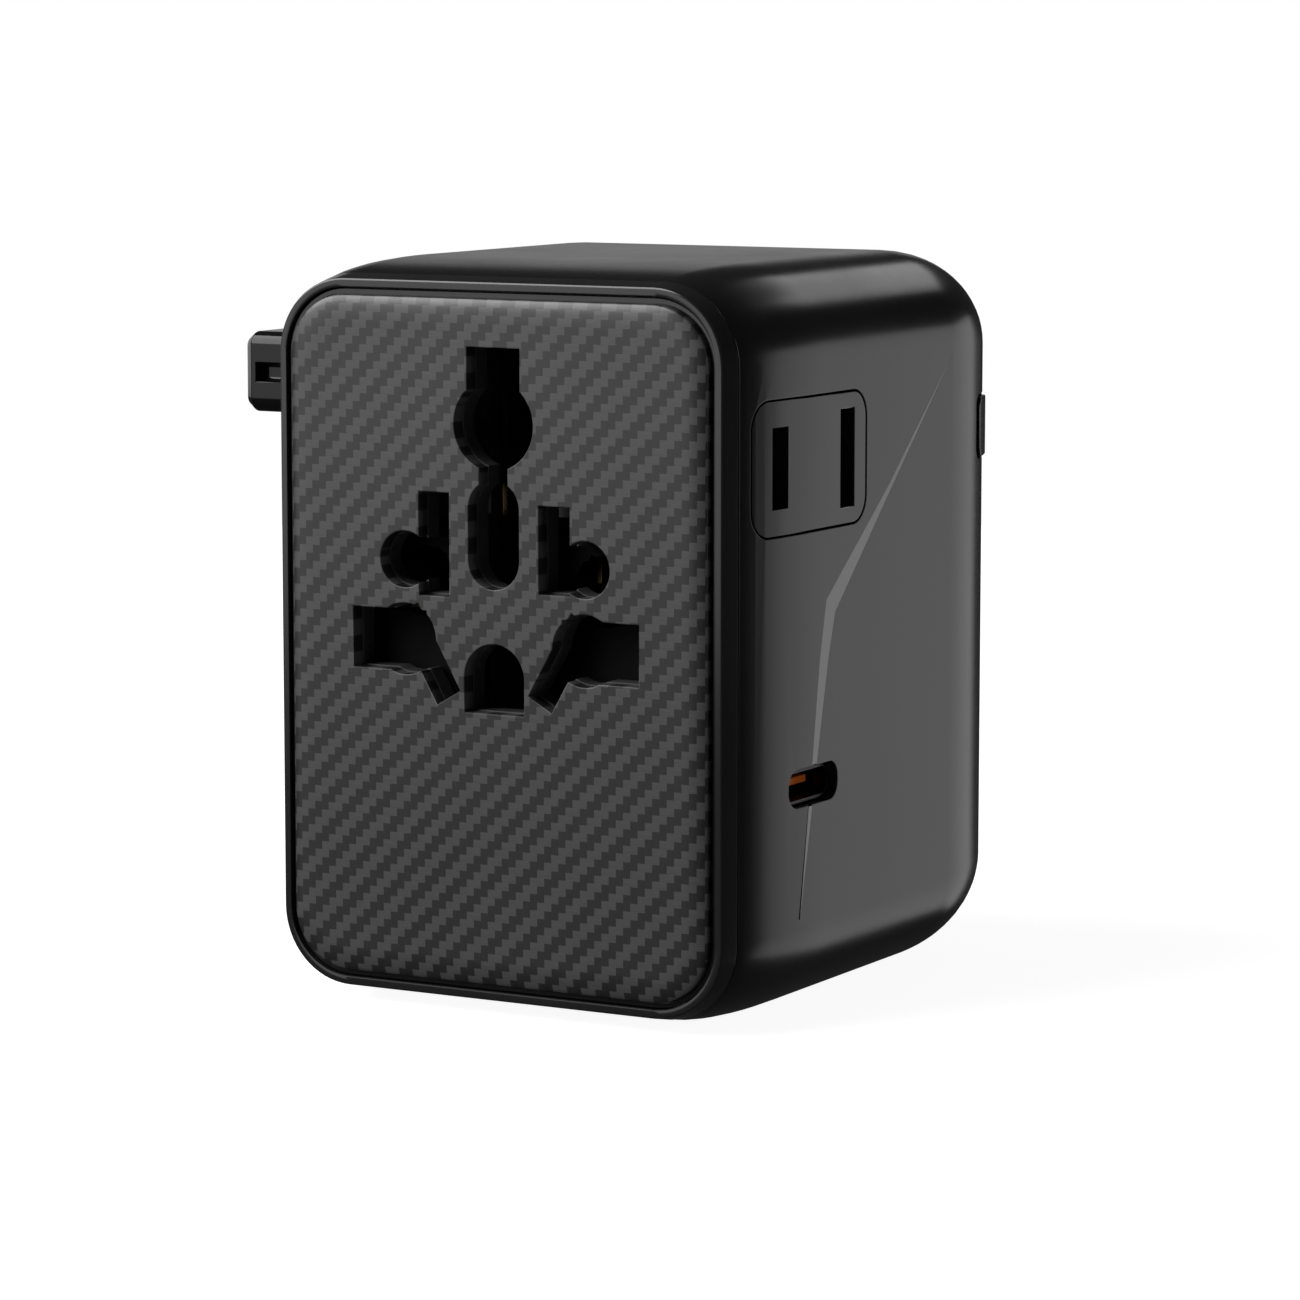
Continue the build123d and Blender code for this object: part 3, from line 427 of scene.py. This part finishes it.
# materials of the pieces inside
def boardGreen():
    material, tree, surface = newMaterial("boardGreen", {"Coat Weight": 0.3, "Coat Roughness": 0.2})
    tracks = tree.add("ShaderNodeTexBrick", {"Vector": tree.place(), "Scale": 260.0, "Mortar Size": 0.035,
                                             "Color1": shade((0.008, 0.085, 0.03)),
                                             "Color2": shade((0.012, 0.11, 0.04)),
                                             "Mortar": shade((0.03, 0.2, 0.08))})
    pads = tree.add("ShaderNodeTexVoronoi", {"Vector": tree.place(), "Scale": 330.0}).outputs["Distance"]
    pad = tree.math("LESS_THAN", pads, 0.16)
    colour = tree.mixed(pad, tracks.outputs[0], shade((0.6, 0.6, 0.58)))
    links = material.node_tree.links
    links.new(colour, surface.inputs["Base Color"])
    links.new(tree.math("MULTIPLY", pad, 0.9), surface.inputs["Metallic"])
    links.new(tree.ranged(tracks.outputs[1], 0.0, 1.0, 0.32, 0.24), surface.inputs["Roughness"])
    bump = tree.add("ShaderNodeBump", {"Height": tracks.outputs[1], "Strength": 0.3, "Distance": 0.00003})
    links.new(bump.outputs[0], surface.inputs["Normal"])
    return material


def ferriteGrey():
    material, tree, surface = newMaterial("ferriteGrey", {})
    grit = tree.add("ShaderNodeTexVoronoi", {"Vector": tree.place(), "Scale": 3200.0}).outputs["Distance"]
    cloud = tree.add("ShaderNodeTexNoise", {"Vector": tree.place(), "Scale": 500.0,
                                            "Detail": 5.0}).outputs[0]
    links = material.node_tree.links
    links.new(tree.mixed(cloud, shade(0.03), shade(0.075)), surface.inputs["Base Color"])
    links.new(tree.ranged(grit, 0.0, 0.8, 0.45, 0.65), surface.inputs["Roughness"])
    bump = tree.add("ShaderNodeBump", {"Height": grit, "Strength": 0.4, "Distance": 0.00003})
    links.new(bump.outputs[0], surface.inputs["Normal"])
    return material


def tapeYellow():  # wound tape, each turn a faint step in height
    material, tree, surface = newMaterial("tapeYellow", {"Coat Weight": 0.4, "Coat Roughness": 0.2})
    turns = tree.add("ShaderNodeTexWave", {"Vector": tree.place(), "Scale": 220.0, "Distortion": 0.6,
                                           "Detail": 2.0},
                     bands_direction="Z", wave_profile="SAW").outputs[1]
    smear = useGroup(tree, smearTree, {"Scale": 160.0})
    links = material.node_tree.links
    links.new(tree.mixed(smear, shade((0.78, 0.46, 0.03)), shade((0.62, 0.33, 0.02))),
              surface.inputs["Base Color"])
    links.new(tree.ranged(smear, 0.0, 1.0, 0.28, 0.42), surface.inputs["Roughness"])
    bump = tree.add("ShaderNodeBump", {"Height": turns, "Strength": 0.5, "Distance": 0.00004})
    links.new(bump.outputs[0], surface.inputs["Normal"])
    return material


def fuseFinish():  # glazed body between plated ends
    low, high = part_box("fuse")
    capLength = 5.5 * mm
    material, tree, surface = newMaterial("fuseFinish", {})
    along = tree.add("ShaderNodeSeparateXYZ", {0: tree.place()}).outputs[0]
    cap = tree.math("MAXIMUM", tree.math("LESS_THAN", along, low.x + capLength),
                    tree.math("GREATER_THAN", along, high.x - capLength))
    smear = useGroup(tree, smearTree, {"Scale": 200.0})
    glaze = tree.mixed(smear, shade((0.78, 0.74, 0.66)), shade((0.66, 0.62, 0.54)))
    links = material.node_tree.links
    links.new(tree.mixed(cap, glaze, shade((0.62, 0.6, 0.57))), surface.inputs["Base Color"])
    links.new(cap, surface.inputs["Metallic"])
    links.new(tree.ranged(smear, 0.0, 1.0, 0.2, 0.32), surface.inputs["Roughness"])
    grain = useGroup(tree, grainTree, {"Scale": 3000.0})
    bump = tree.add("ShaderNodeBump", {"Height": grain, "Strength": 0.1, "Distance": 0.00001})
    links.new(bump.outputs[0], surface.inputs["Normal"])
    return material


carriedOver = {
    deckGrey: ["socket_deck"],
    innerBlack: ["contact_carrier", "inner_frame", "side_socket_core", "uk_carriage", "eu_carriage",
                 "us_carriage"],
    shutterPaintedShade: ["safety_shutter"],
    stampedBrass: ["line_contact", "neutral_contact", "earth_contact", "side_line_contact",
                   "side_neutral_contact", "fuse_clips"],
    plainSteel: ["guide_rods", "deck_screws", "frame_screws"],
    boardGreen(): ["charger_board", "power_board"],
    ferriteGrey(): ["transformer_core", "filter_choke"],
    tapeYellow(): ["transformer_winding"],
    capSleeve: ["filter_capacitors"],
    fuseFinish(): ["fuse"],
}
for material, names in carriedOver.items():
    for name in names:
        for slot in cadNodes[name].material_slots:
            slot.material = material
print("finishes given to the carried-over nodes")

# housing
low, high = span("outer_housing")
housing = {
    "width": high.x - low.x, "height": high.z - low.z, "lipY": low.y, "rearY": high.y,
    "corner": 8.7, "noseInset": 1.2, "noseRun": 14.0, "tailInset": 6.9, "tailRun": 15.6,
    "wall": 2.0, "rearWall": 2.4, "edge": 0.16, "mouth": (45.6, 64.7, 6.4),
}
midZ = (low.z + high.z) / 2
sideX = high.x


def housingForm(grow, lipY, rearY):  # the rounded form, grown on each side wall
    steep = radians(72)
    width, height = housing["width"] + 2 * grow, housing["height"] + 2 * grow
    corner = housing["corner"] + grow
    noseEnd = housing["lipY"] + housing["noseRun"]
    tailStart = housing["rearY"] - housing["tailRun"]
    stations = []
    for step in range(8, -1, -1):
        angle = steep * step / 8
        inset = housing["noseInset"] * (1 - cos(angle)) / (1 - cos(steep))
        y = noseEnd - (noseEnd - lipY) * sin(angle) / sin(steep)
        stations.append((y, width - 2 * inset, height - 2 * inset, corner - inset))
    for step in range(0, 15):
        angle = radians(90) * step / 14
        inset = housing["tailInset"] * (1 - cos(angle))
        y = tailStart + (rearY - tailStart) * sin(angle)
        stations.append((y, width - 2 * inset, height - 2 * inset, corner - 0.7 * inset))
    return stack(stations, midZ)


knobLanes = {"uk_knob": 23.0, "eu_knob": 19.2, "us_knob": 19.2}  # travel of each knob
openings = {"lane": 3.6, "laneCorner": 0.8, "windowGap": 0.3, "windowCorner": 2.65, "port": (9.2, 3.5),
            "portCorner": 1.5, "button": (5.4, 6.2), "buttonCorner": 1.1, "buttonDepth": 7.3,
            "sideDepth": 4}
pinHoles = (  # node, size and corner of each hole in the rear wall
    ("uk_line_pin", (6.95, 4.6), 0.4), ("uk_neutral_pin", (6.95, 4.6), 0.4),
    ("uk_earth_pin", (4.6, 8.6), 0.4), ("eu_line_pin", (4.6, 4.6), 2.3), ("eu_neutral_pin", (4.6, 4.6), 2.3),
)
bladeFan = {"size": (2.2, 6.95), "pivotOffset": 1.0, "largest": 30, "step": 5}
panelLow, panelHigh = span("side_socket_panel")
usbLow, usbHigh = span("usb_port_shell")
buttonLow, buttonHigh = span("release_button")
buttonSpot = (buttonHigh.y - 2.5, (buttonLow.z + buttonHigh.z) / 2)


def middle(low, high):  # centre of a side piece, as y and z
    return ((low.y + high.y) / 2, (low.z + high.z) / 2)


def housingOpenings():
    tools = []
    for node, travel in knobLanes.items():
        knobLow, knobHigh = span(node)
        y, z = middle(knobLow, knobHigh)
        tools.append(prism((travel + openings["lane"], openings["lane"]), -sideX - 1, -sideX + 3,
                           (y + travel / 2, z), openings["laneCorner"], 0, "side"))
    gap = openings["windowGap"]
    windowSize = (panelHigh.y - panelLow.y + gap, panelHigh.z - panelLow.z + gap)
    shallow = sideX - openings["sideDepth"]
    tools.append(prism(windowSize, shallow, sideX + 1, middle(panelLow, panelHigh),
                       openings["windowCorner"], 0, "side", 14))
    tools.append(prism(openings["port"], shallow, sideX + 1, middle(usbLow, usbHigh),
                       openings["portCorner"], 0, "side"))
    tools.append(prism(openings["button"], sideX - openings["buttonDepth"], sideX + 1, buttonSpot,
                       openings["buttonCorner"], 0, "side"))
    rear = (housing["rearY"] - 4, housing["rearY"] + 1)
    for node, size, radius in pinHoles:
        pinLow, pinHigh = span(node)
        centre = ((pinLow.x + pinHigh.x) / 2, (pinLow.z + pinHigh.z) / 2)
        tools.append(prism(size, *rear, centre, radius, arc=8))
    for node, way in (("us_left_blade", -1), ("us_right_blade", 1)):  # fans for the turning blades
        bladeLow, bladeHigh = span(node)
        pivotX, pivotZ = (bladeLow.x + bladeHigh.x) / 2, (bladeLow.z + bladeHigh.z) / 2
        for turn in range(0, bladeFan["largest"] + 1, bladeFan["step"]):
            angle, arm = radians(turn), bladeFan["pivotOffset"]
            centre = (pivotX + way * arm * sin(angle), pivotZ + arm * cos(angle))
            tools.append(prism(bladeFan["size"], *rear, centre, 0.0, -way * turn))
    return tools


outsideLimits = {"flank": 20, "rimX": 23.5, "rimZ": 33}  # distances from the middle of the housing


def onRim(vertex):
    return abs(vertex.co.x) > outsideLimits["rimX"] or abs(vertex.co.z - midZ) > outsideLimits["rimZ"]


def outsideEdge(edge):  # an edge with a face on the outside of the housing
    for face in edge.link_faces:
        normal, spot = face.normal, face.calc_center_median()
        if abs(spot.x) > outsideLimits["flank"] and normal.x * spot.x > 0.5 * abs(spot.x):
            return True
        if spot.y > housing["rearY"] - 1 and normal.y > 0.5:
            return True
        if spot.y < housing["lipY"] + 0.01 and all(onRim(vertex) for vertex in edge.verts):
            return True
    return False


shell = asObject(housingForm(0, housing["lipY"], housing["rearY"]), "housingShell")
carve(shell, [housingForm(-housing["wall"], housing["lipY"] - 0.5, housing["rearY"] - housing["rearWall"])])
mouthWidth, mouthHeight, mouthRadius = housing["mouth"]
carve(shell, [prism((mouthWidth, mouthHeight), low.y - 1, low.y + 0.9, (0, midZ), mouthRadius, arc=14)])
carve(shell, housingOpenings())
soften(shell, housing["edge"], 2, 50, outsideEdge)
accentLine = {
    "depth": 0.3, "recess": 0.01,
    "points": ((14.4, 59.6), (0.7, 48.0), (-12.1, 38.4), (-13.3, 33.3), (-14.7, 24.3), (-17.1, 9.5),
               (-13.7, 24.3), (-11.5, 33.3), (-10.3, 37.1), (1.55, 48.0)),
}


def accentBar(outer):  # the bent line, from the groove's floor out to x = outer
    bm = bmesh.new()
    floorX = sideX - accentLine["depth"]
    corners = [bm.verts.new((floorX, y, z)) for y, z in accentLine["points"]]
    for one, other in zip(corners, corners[1:] + corners[:1]):
        bm.edges.new((one, other))
    bmesh.ops.contextual_create(bm, geom=list(bm.edges))
    pushed = bmesh.ops.extrude_face_region(bm, geom=list(bm.faces))
    top = [item for item in pushed["geom"] if isinstance(item, bmesh.types.BMVert)]
    bmesh.ops.translate(bm, verts=top, vec=(outer - floorX, 0, 0))
    return faceOutward(bm)


carve(shell, [accentBar(sideX + 2)])
finishPiece(shell, "housing", ["outer_housing"], [bodySatin])
inlay = asObject(accentBar(sideX - accentLine["recess"]), "accentInlay")
portGap, portGapCorner = 0.6, 1.6  # the inlay stops this far round the port
portSize = (usbHigh.y - usbLow.y + portGap, usbHigh.z - usbLow.z + portGap)
carve(inlay, [prism(portSize, sideX - openings["sideDepth"], sideX + 1, middle(usbLow, usbHigh),
                    portGapCorner, 0, "side")])
finishPiece(inlay, "housing", ["side_accent"], [accentSatin])
print("housing done,", len(shell.data.polygons), "faces")

# bezel
low, high = span("front_bezel")
bezel = {  # rings from the back edge round the front to the inside, as y, width, height, radius
    "rings": (
        (-26.75, 47.2, 66.5, 7.3), (-26.80, 47.38, 66.68, 7.39), (-26.92, 47.46, 66.76, 7.43),
        (-28.80, 46.68, 65.98, 7.04), (-28.92, 46.60, 65.90, 7.0), (-28.985, 46.44, 65.74, 6.92),
        (-29.0, 46.26, 65.56, 6.83), (-29.0, 45.40, 64.54, 6.40), (-28.98, 45.28, 64.39, 6.34),
        (-28.90, 45.2, 64.3, 6.3), (-26.75, 45.2, 64.3, 6.3), (-26.75, 43.2, 62.3, 5.3),
        (-26.1, 43.2, 62.3, 5.3), (-26.1, 45.4, 64.5, 6.3), (-26.75, 45.4, 64.5, 6.3),
    ),
}
ring = asObject(stack(bezel["rings"], midZ, 16, closed=True), "bezelRing")
finishPiece(ring, "housing", ["front_bezel"], [bezelGloss])

# socket panel
low, high = span("socket_panel")
panel = {
    "width": high.x - low.x, "height": high.z - low.z, "corner": 6.2, "stripY": low.y + 1.0,
    "crown": (43.9, 62.9, 5.6), "crownEdgeY": low.y + 0.45, "crownInset": 2.4, "edge": 0.13,
    "gutter": (0.3, 0.25),
}
socketHoles = (  # size, centre measured from the line through the widest pair, radius, turn
    ((5.5, 6.2), (0, 24.0), 0.0, 0), ((8.3, 8.3), (0, 20.1), 4.15, 0), ((2.95, 3.4), (0, 15.8), 0.0, 0),
    ((5.3, 9.95), (0, 10.1), 2.64, 0), ((3.2, 9.5), (-6.35, 9.0), 0.0, 0),
    ((3.2, 8.0), (6.35, 9.0), 0.0, 0),
    ((5.2, 5.2), (-9.5, 7.45), 2.6, 0), ((5.2, 5.2), (9.5, 7.45), 2.6, 0),
    ((6.6, 6.6), (-9.5, 0.1), 3.3, 0), ((6.6, 6.6), (9.5, 0.1), 3.3, 0),
    ((7.9, 5.6), (-11.15, 0), 0.0, 0), ((7.9, 5.6), (11.15, 0), 0.0, 0),
    ((2.8, 9.0), (-7.09, -1.15), 0.0, 30), ((2.8, 9.0), (7.09, -1.15), 0.0, -30),
    ((6.28, 6.28), (0, -3.02), 3.14, 0), ((6.28, 3.24), (0, -4.64), 0.0, 0),
)


def panelStations():
    width, height, corner = panel["width"], panel["height"], panel["corner"]
    crownWidth, crownHeight, crownCorner = panel["crown"]
    stripY, edgeY = panel["stripY"], panel["crownEdgeY"]
    gutter, drop = panel["gutter"]
    stations = [(high.y, width, height, corner), (stripY + 0.08, width, height, corner),
                (stripY, width - 0.16, height - 0.16, corner - 0.08),
                (stripY, crownWidth + gutter, crownHeight + gutter, crownCorner + gutter / 2),
                (stripY + drop, crownWidth + gutter, crownHeight + gutter, crownCorner + gutter / 2),
                (stripY + drop, crownWidth, crownHeight, crownCorner),
                (edgeY, crownWidth, crownHeight, crownCorner)]
    for step in range(1, 10):
        angle = radians(10 * step)
        inset = panel["crownInset"] * (1 - cos(angle))
        y = edgeY + (low.y - edgeY) * sin(angle)
        stations.append((y, crownWidth - 2 * inset, crownHeight - 2 * inset, crownCorner - inset))
    return stations


def frontRim(edge):  # an edge between the front of the panel and the wall of an opening
    fronts = [face for face in edge.link_faces if face.normal.y < -0.6]
    return len(fronts) == 1 and edge.verts[0].co.y < panel["crownEdgeY"] - 0.05


plate = asObject(stack(panelStations(), midZ, 14), "socketPlate")
carve(plate, [prism(size, low.y - 1, high.y + 1, (centre[0], centre[1] + midZ), radius, turn, arc=14)
              for size, centre, radius, turn in socketHoles])
soften(plate, panel["edge"], 2, 50, frontRim)
finishPiece(plate, "housing", ["socket_panel"], [twillPanel, bezelGloss])
halfCrown = Vector((panel["crown"][0], 0, panel["crown"][1])) * mm / 2
for face in plate.data.polygons:  # the flat strip round the raised middle is plain
    spot = face.center
    past = abs(spot.x) > halfCrown.x or abs(spot.z - midZ * mm) > halfCrown.z
    if spot.y > (panel["stripY"] - 0.01) * mm and (past or face.normal.y < -0.9):
        face.material_index = 1
print("bezel and socket panel done,", len(plate.data.polygons), "faces")

# knobs
knob = {"corner": 1.4, "chamfer": 0.7, "stretch": 0.2, "edge": 0.1, "groove": (2.4, 1.8), "grooveLip": 1.4,
        "grooveCorner": 0.5, "gap": 0.35, "stem": 3.0}


def knobPiece(node, body):
    knobLow, knobHigh = span(node)
    centre = middle(knobLow, knobHigh)
    size = (knobHigh.y - knobLow.y, knobHigh.z - knobLow.z)
    capX = -sideX - knob["gap"]
    piece = asObject(prism(size, knobLow.x, capX, centre, knob["corner"], 0, "side", 8), node + "Cap")
    soften(piece, knob["chamfer"], 1, 60, lambda edge: all(v.co.x < knobLow.x + 0.01 for v in edge.verts))
    for vertex in piece.data.vertices:  # the chamfer reaches further along the knob than across it
        if abs(vertex.co.x - knobLow.x - knob["chamfer"]) < 0.02:
            vertex.co.x += knob["stretch"]
    for side in (knobLow.y, knobHigh.y):
        carve(piece, [prism(knob["groove"], knobLow.x + knob["grooveLip"], capX + 1, (side, centre[1]),
                            knob["grooveCorner"], 0, "side", 6)])
    soften(piece, knob["edge"], 3, 25)
    stem = (knob["stem"], knob["stem"])
    carve(piece, [prism(stem, capX - 0.5, knobHigh.x, centre, 0.4, 0, "side", 4)], "UNION")
    return finishPiece(piece, body, [node], [blackGloss], 24)


for node, body in (("uk_knob", "uk_plug"), ("eu_knob", "eu_plug"), ("us_knob", "us_plug")):
    knobPiece(node, body)

# side socket panel and release button
sideSocket = {"corner": 2.5, "edge": 0.14, "slots": ((2.7, 7.4, -20.7), (2.7, 9.0, -8.0))}
insert = asObject(prism((panelHigh.y - panelLow.y, panelHigh.z - panelLow.z), panelLow.x, sideX,
                        middle(panelLow, panelHigh), sideSocket["corner"], 0, "side", 14), "sideInsert")
slotZ = middle(panelLow, panelHigh)[1]
carve(insert, [prism((width, height), panelLow.x - 1, sideX + 1, (y, slotZ), 0.0, 0, "side")
               for width, height, y in sideSocket["slots"]])
soften(insert, sideSocket["edge"], 2, 50, lambda edge: all(v.co.x > sideX - 0.01 for v in edge.verts))
carve(insert, [housingForm(0.0, housing["lipY"], housing["rearY"])], "INTERSECT")
finishPiece(insert, "housing", ["side_socket_panel"], [bodySatin])

press = {"size": (5.0, 5.8), "corner": 0.9, "proud": 0.25, "flange": 2.2, "edge": 0.18}
button = asObject(prism(press["size"], sideX - 5.7, sideX + 2, buttonSpot, press["corner"], 0, "side", 8),
                  "pressButton")
proudForm = housingForm(press["proud"], housing["lipY"], housing["rearY"] + press["proud"])
carve(button, [proudForm], "INTERSECT")
soften(button, press["edge"], 3, 40, outsideEdge)
carve(button, [prism((press["flange"], buttonHigh.z - buttonLow.z), buttonLow.x, buttonLow.x + 1,
                     (buttonLow.y + press["flange"] / 2, buttonSpot[1]), 0.2, 0, "side", 3)], "UNION")
finishPiece(button, "button", ["release_button"], [bodySatin])
print("knobs, side socket and button done")

# plug pins
pins = {  # how far each insulating sleeve reaches at rest
    "uk_line_pin": {"body": "uk_plug", "sleeve": 15.7, "tip": 0.9},
    "uk_neutral_pin": {"body": "uk_plug", "sleeve": 15.7, "tip": 0.9},
    "uk_earth_pin": {"body": "uk_plug", "sleeve": None, "tip": 0.9},
    "eu_line_pin": {"body": "eu_plug", "sleeve": 20.3, "tip": 1.5},
    "eu_neutral_pin": {"body": "eu_plug", "sleeve": 20.3, "tip": 1.5},
}


pinEdge = 0.2


def pinPiece(node, look):
    pinLow, pinHigh = span(node)
    size = (round(pinHigh.x - pinLow.x, 2), round(pinHigh.z - pinLow.z, 2))
    centre = ((pinLow.x + pinHigh.x) / 2, (pinLow.z + pinHigh.z) / 2)
    isRound = size[0] == size[1]
    radius = size[0] / 2 if isRound else 0.0
    piece = asObject(prism(size, pinLow.y, pinHigh.y, centre, radius, arc=8), node + "Bar")
    soften(piece, look["tip"], 6 if isRound else 2, 60,
           lambda edge: all(v.co.y > pinHigh.y - 0.01 for v in edge.verts))
    if not isRound:  # the long edges, once the tip is shaped
        soften(piece, pinEdge, 2, 60, lambda edge: abs(edge.verts[0].co.y - edge.verts[1].co.y) > 5)
    if look["sleeve"]:
        bm = bmesh.new()
        bm.from_mesh(piece.data)
        for cut in (look["sleeve"], look["sleeve"] + 0.12):
            everything = list(bm.verts) + list(bm.edges) + list(bm.faces)
            bmesh.ops.bisect_plane(bm, geom=everything, plane_co=(0, cut, 0), plane_no=(0, 1, 0), dist=1e-4)
        inner = [v for v in bm.verts if v.co.y < look["sleeve"] + 0.01]
        thin = (0.96, 1, 0.96)
        about = Matrix.Translation((-centre[0], 0, -centre[1]))
        bmesh.ops.scale(bm, verts=inner, vec=thin, space=about)
        for face in bm.faces:
            face.material_index = int(face.calc_center_median().y < look["sleeve"])
        bm.to_mesh(piece.data)
        bm.free()
    indices = [face.material_index for face in piece.data.polygons]
    finishPiece(piece, look["body"], [node], [pinNickel, pinSleeve])
    piece.data.polygons.foreach_set("material_index", indices)


for node, look in pins.items():
    pinPiece(node, look)
for node, body in (("us_left_blade", "left_blade"), ("us_right_blade", "right_blade")):
    blade = copyNode(node, node + "Plate")
    soften(blade, 0.12, 2, 40)
    finishPiece(blade, body, [node], [pinNickel])

# USB port
for node, name, material, width, slot in (
        ("usb_port_shell", "usbShell", portShell, 0.07, "steel"),
        ("usb_port_tongue", "usbTongue", orangePlastic, 0.1, "orange_tongue")):
    part = copyNode(node, name)
    soften(part, width, 2, 50)
    finishPiece(part, "housing", [node], [material])
coil = copyNode("shutter_spring", "shutterCoil")
finishPiece(coil, "housing", ["shutter_spring"], [plainSteel])
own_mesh(coil)
print("pins, USB port and spring done")

# floor, light and camera
floorLook = {"radius": 420, "segments": 96, "bounce": 0.30, "paper": 0.45, "glow": 0.93}
worldLook = {"seen": 1.0, "fill": 0.03}
floorMesh = bmesh.new()
bmesh.ops.create_circle(floorMesh, cap_ends=True, radius=floorLook["radius"],
                        segments=floorLook["segments"])
floor = asObject(floorMesh, "floor")
floor.data.transform(Matrix.Scale(mm, 4))
floor.visible_glossy = False
floor.visible_shadow = False
floorPale, tree, surface = newMaterial("floorPale", {"Base Color": shade(floorLook["bounce"]),
                                                     "Roughness": 0.7})
floor.data.materials.append(floorPale)
seen = tree.add("ShaderNodeLightPath").outputs["Is Camera Ray"]
paper = tree.add("ShaderNodeBsdfDiffuse", {"Color": shade(floorLook["paper"])})
glow = tree.add("ShaderNodeEmission", {"Color": shade(1.0), "Strength": floorLook["glow"]})
lit = tree.add("ShaderNodeAddShader", {0: paper.outputs[0], 1: glow.outputs[0]})
choice = tree.add("ShaderNodeMixShader", {0: seen, 1: surface.outputs[0], 2: lit.outputs[0]})
output = floorPale.node_tree.nodes["Material Output"]
floorPale.node_tree.links.new(choice.outputs[0], output.inputs[0])

world = bpy.data.worlds.new("studio")
bpy.context.scene.world = world
world.use_nodes = True
tree = Tree(world.node_tree)
seen = tree.add("ShaderNodeLightPath").outputs["Is Camera Ray"]
backdrop = world.node_tree.nodes["Background"]
skyColour = tree.mixed(seen, shade(worldLook["fill"]), shade(worldLook["seen"]))
world.node_tree.links.new(skyColour, backdrop.inputs["Color"])

softboxes = {  # direction as azimuth (0 in front, 90 on the right) and elevation, distance, size, glow
    "edgeLine": {"azimuth": 178, "elevation": 28, "distance": 0.9, "size": (0.36, 0.11), "glow": 1.5},
    "rearLeft": {"azimuth": 214, "elevation": 8, "distance": 1.0, "size": (0.5, 0.26), "glow": 0.34},
    "rearRight": {"azimuth": 156, "elevation": -9, "distance": 1.0, "size": (0.66, 0.6), "glow": 0.80},
    "frontHigh": {"azimuth": -50, "elevation": 40, "distance": 0.9, "size": (0.8, 0.7), "glow": 6.2},
    "frontLow": {"azimuth": -38, "elevation": 7, "distance": 0.8, "size": (0.6, 0.4), "glow": 1.4},
    "rightKey": {"azimuth": 78, "elevation": 10, "distance": 0.9, "size": (0.12, 0.5), "glow": 3.5},
    "leftSide": {"azimuth": -112, "elevation": 8, "distance": 1.0, "size": (0.6, 0.4), "glow": 0.9},
}


def direction(azimuth, elevation):
    a, e = radians(azimuth), radians(elevation)
    return Vector((sin(a) * cos(e), -cos(a) * cos(e), sin(e)))


heart = Vector((0, 0, midZ * mm))
for name, look in softboxes.items():
    lamp = bpy.data.lights.new(name, "AREA")
    lamp.shape = "RECTANGLE"
    lamp.size, lamp.size_y = look["size"]
    lamp.energy = look["glow"] * pi * lamp.size * lamp.size_y
    box = bpy.data.objects.new(name, lamp)
    bpy.context.scene.collection.objects.link(box)
    toward = direction(look["azimuth"], look["elevation"])
    box.location = heart + toward * look["distance"]
    box.rotation_euler = toward.to_track_quat("Z", "Y").to_euler()
    box.visible_camera = False

view = {"azimuth": 29.25, "elevation": 7.35, "distance": 0.4464, "lens": 136,
        "aim": (0.01242, 0.0069, -0.00035)}  # aim is measured from the middle of the socket panel
panelFront = Vector((0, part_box("socket_panel")[0].y, midZ * mm))
camera = bpy.data.objects.new("camera", bpy.data.cameras.new("camera"))
bpy.context.scene.collection.objects.link(camera)
toward = direction(view["azimuth"], view["elevation"])
camera.location = panelFront + Vector(view["aim"]) + toward * view["distance"]
camera.rotation_euler = toward.to_track_quat("Z", "Y").to_euler()
camera.data.lens = view["lens"]
camera.data.sensor_width = 36
camera.data.clip_start = 0.01
bpy.context.scene.camera = camera
bpy.context.scene.view_settings.view_transform = "Standard"
print("floor, light and camera done")
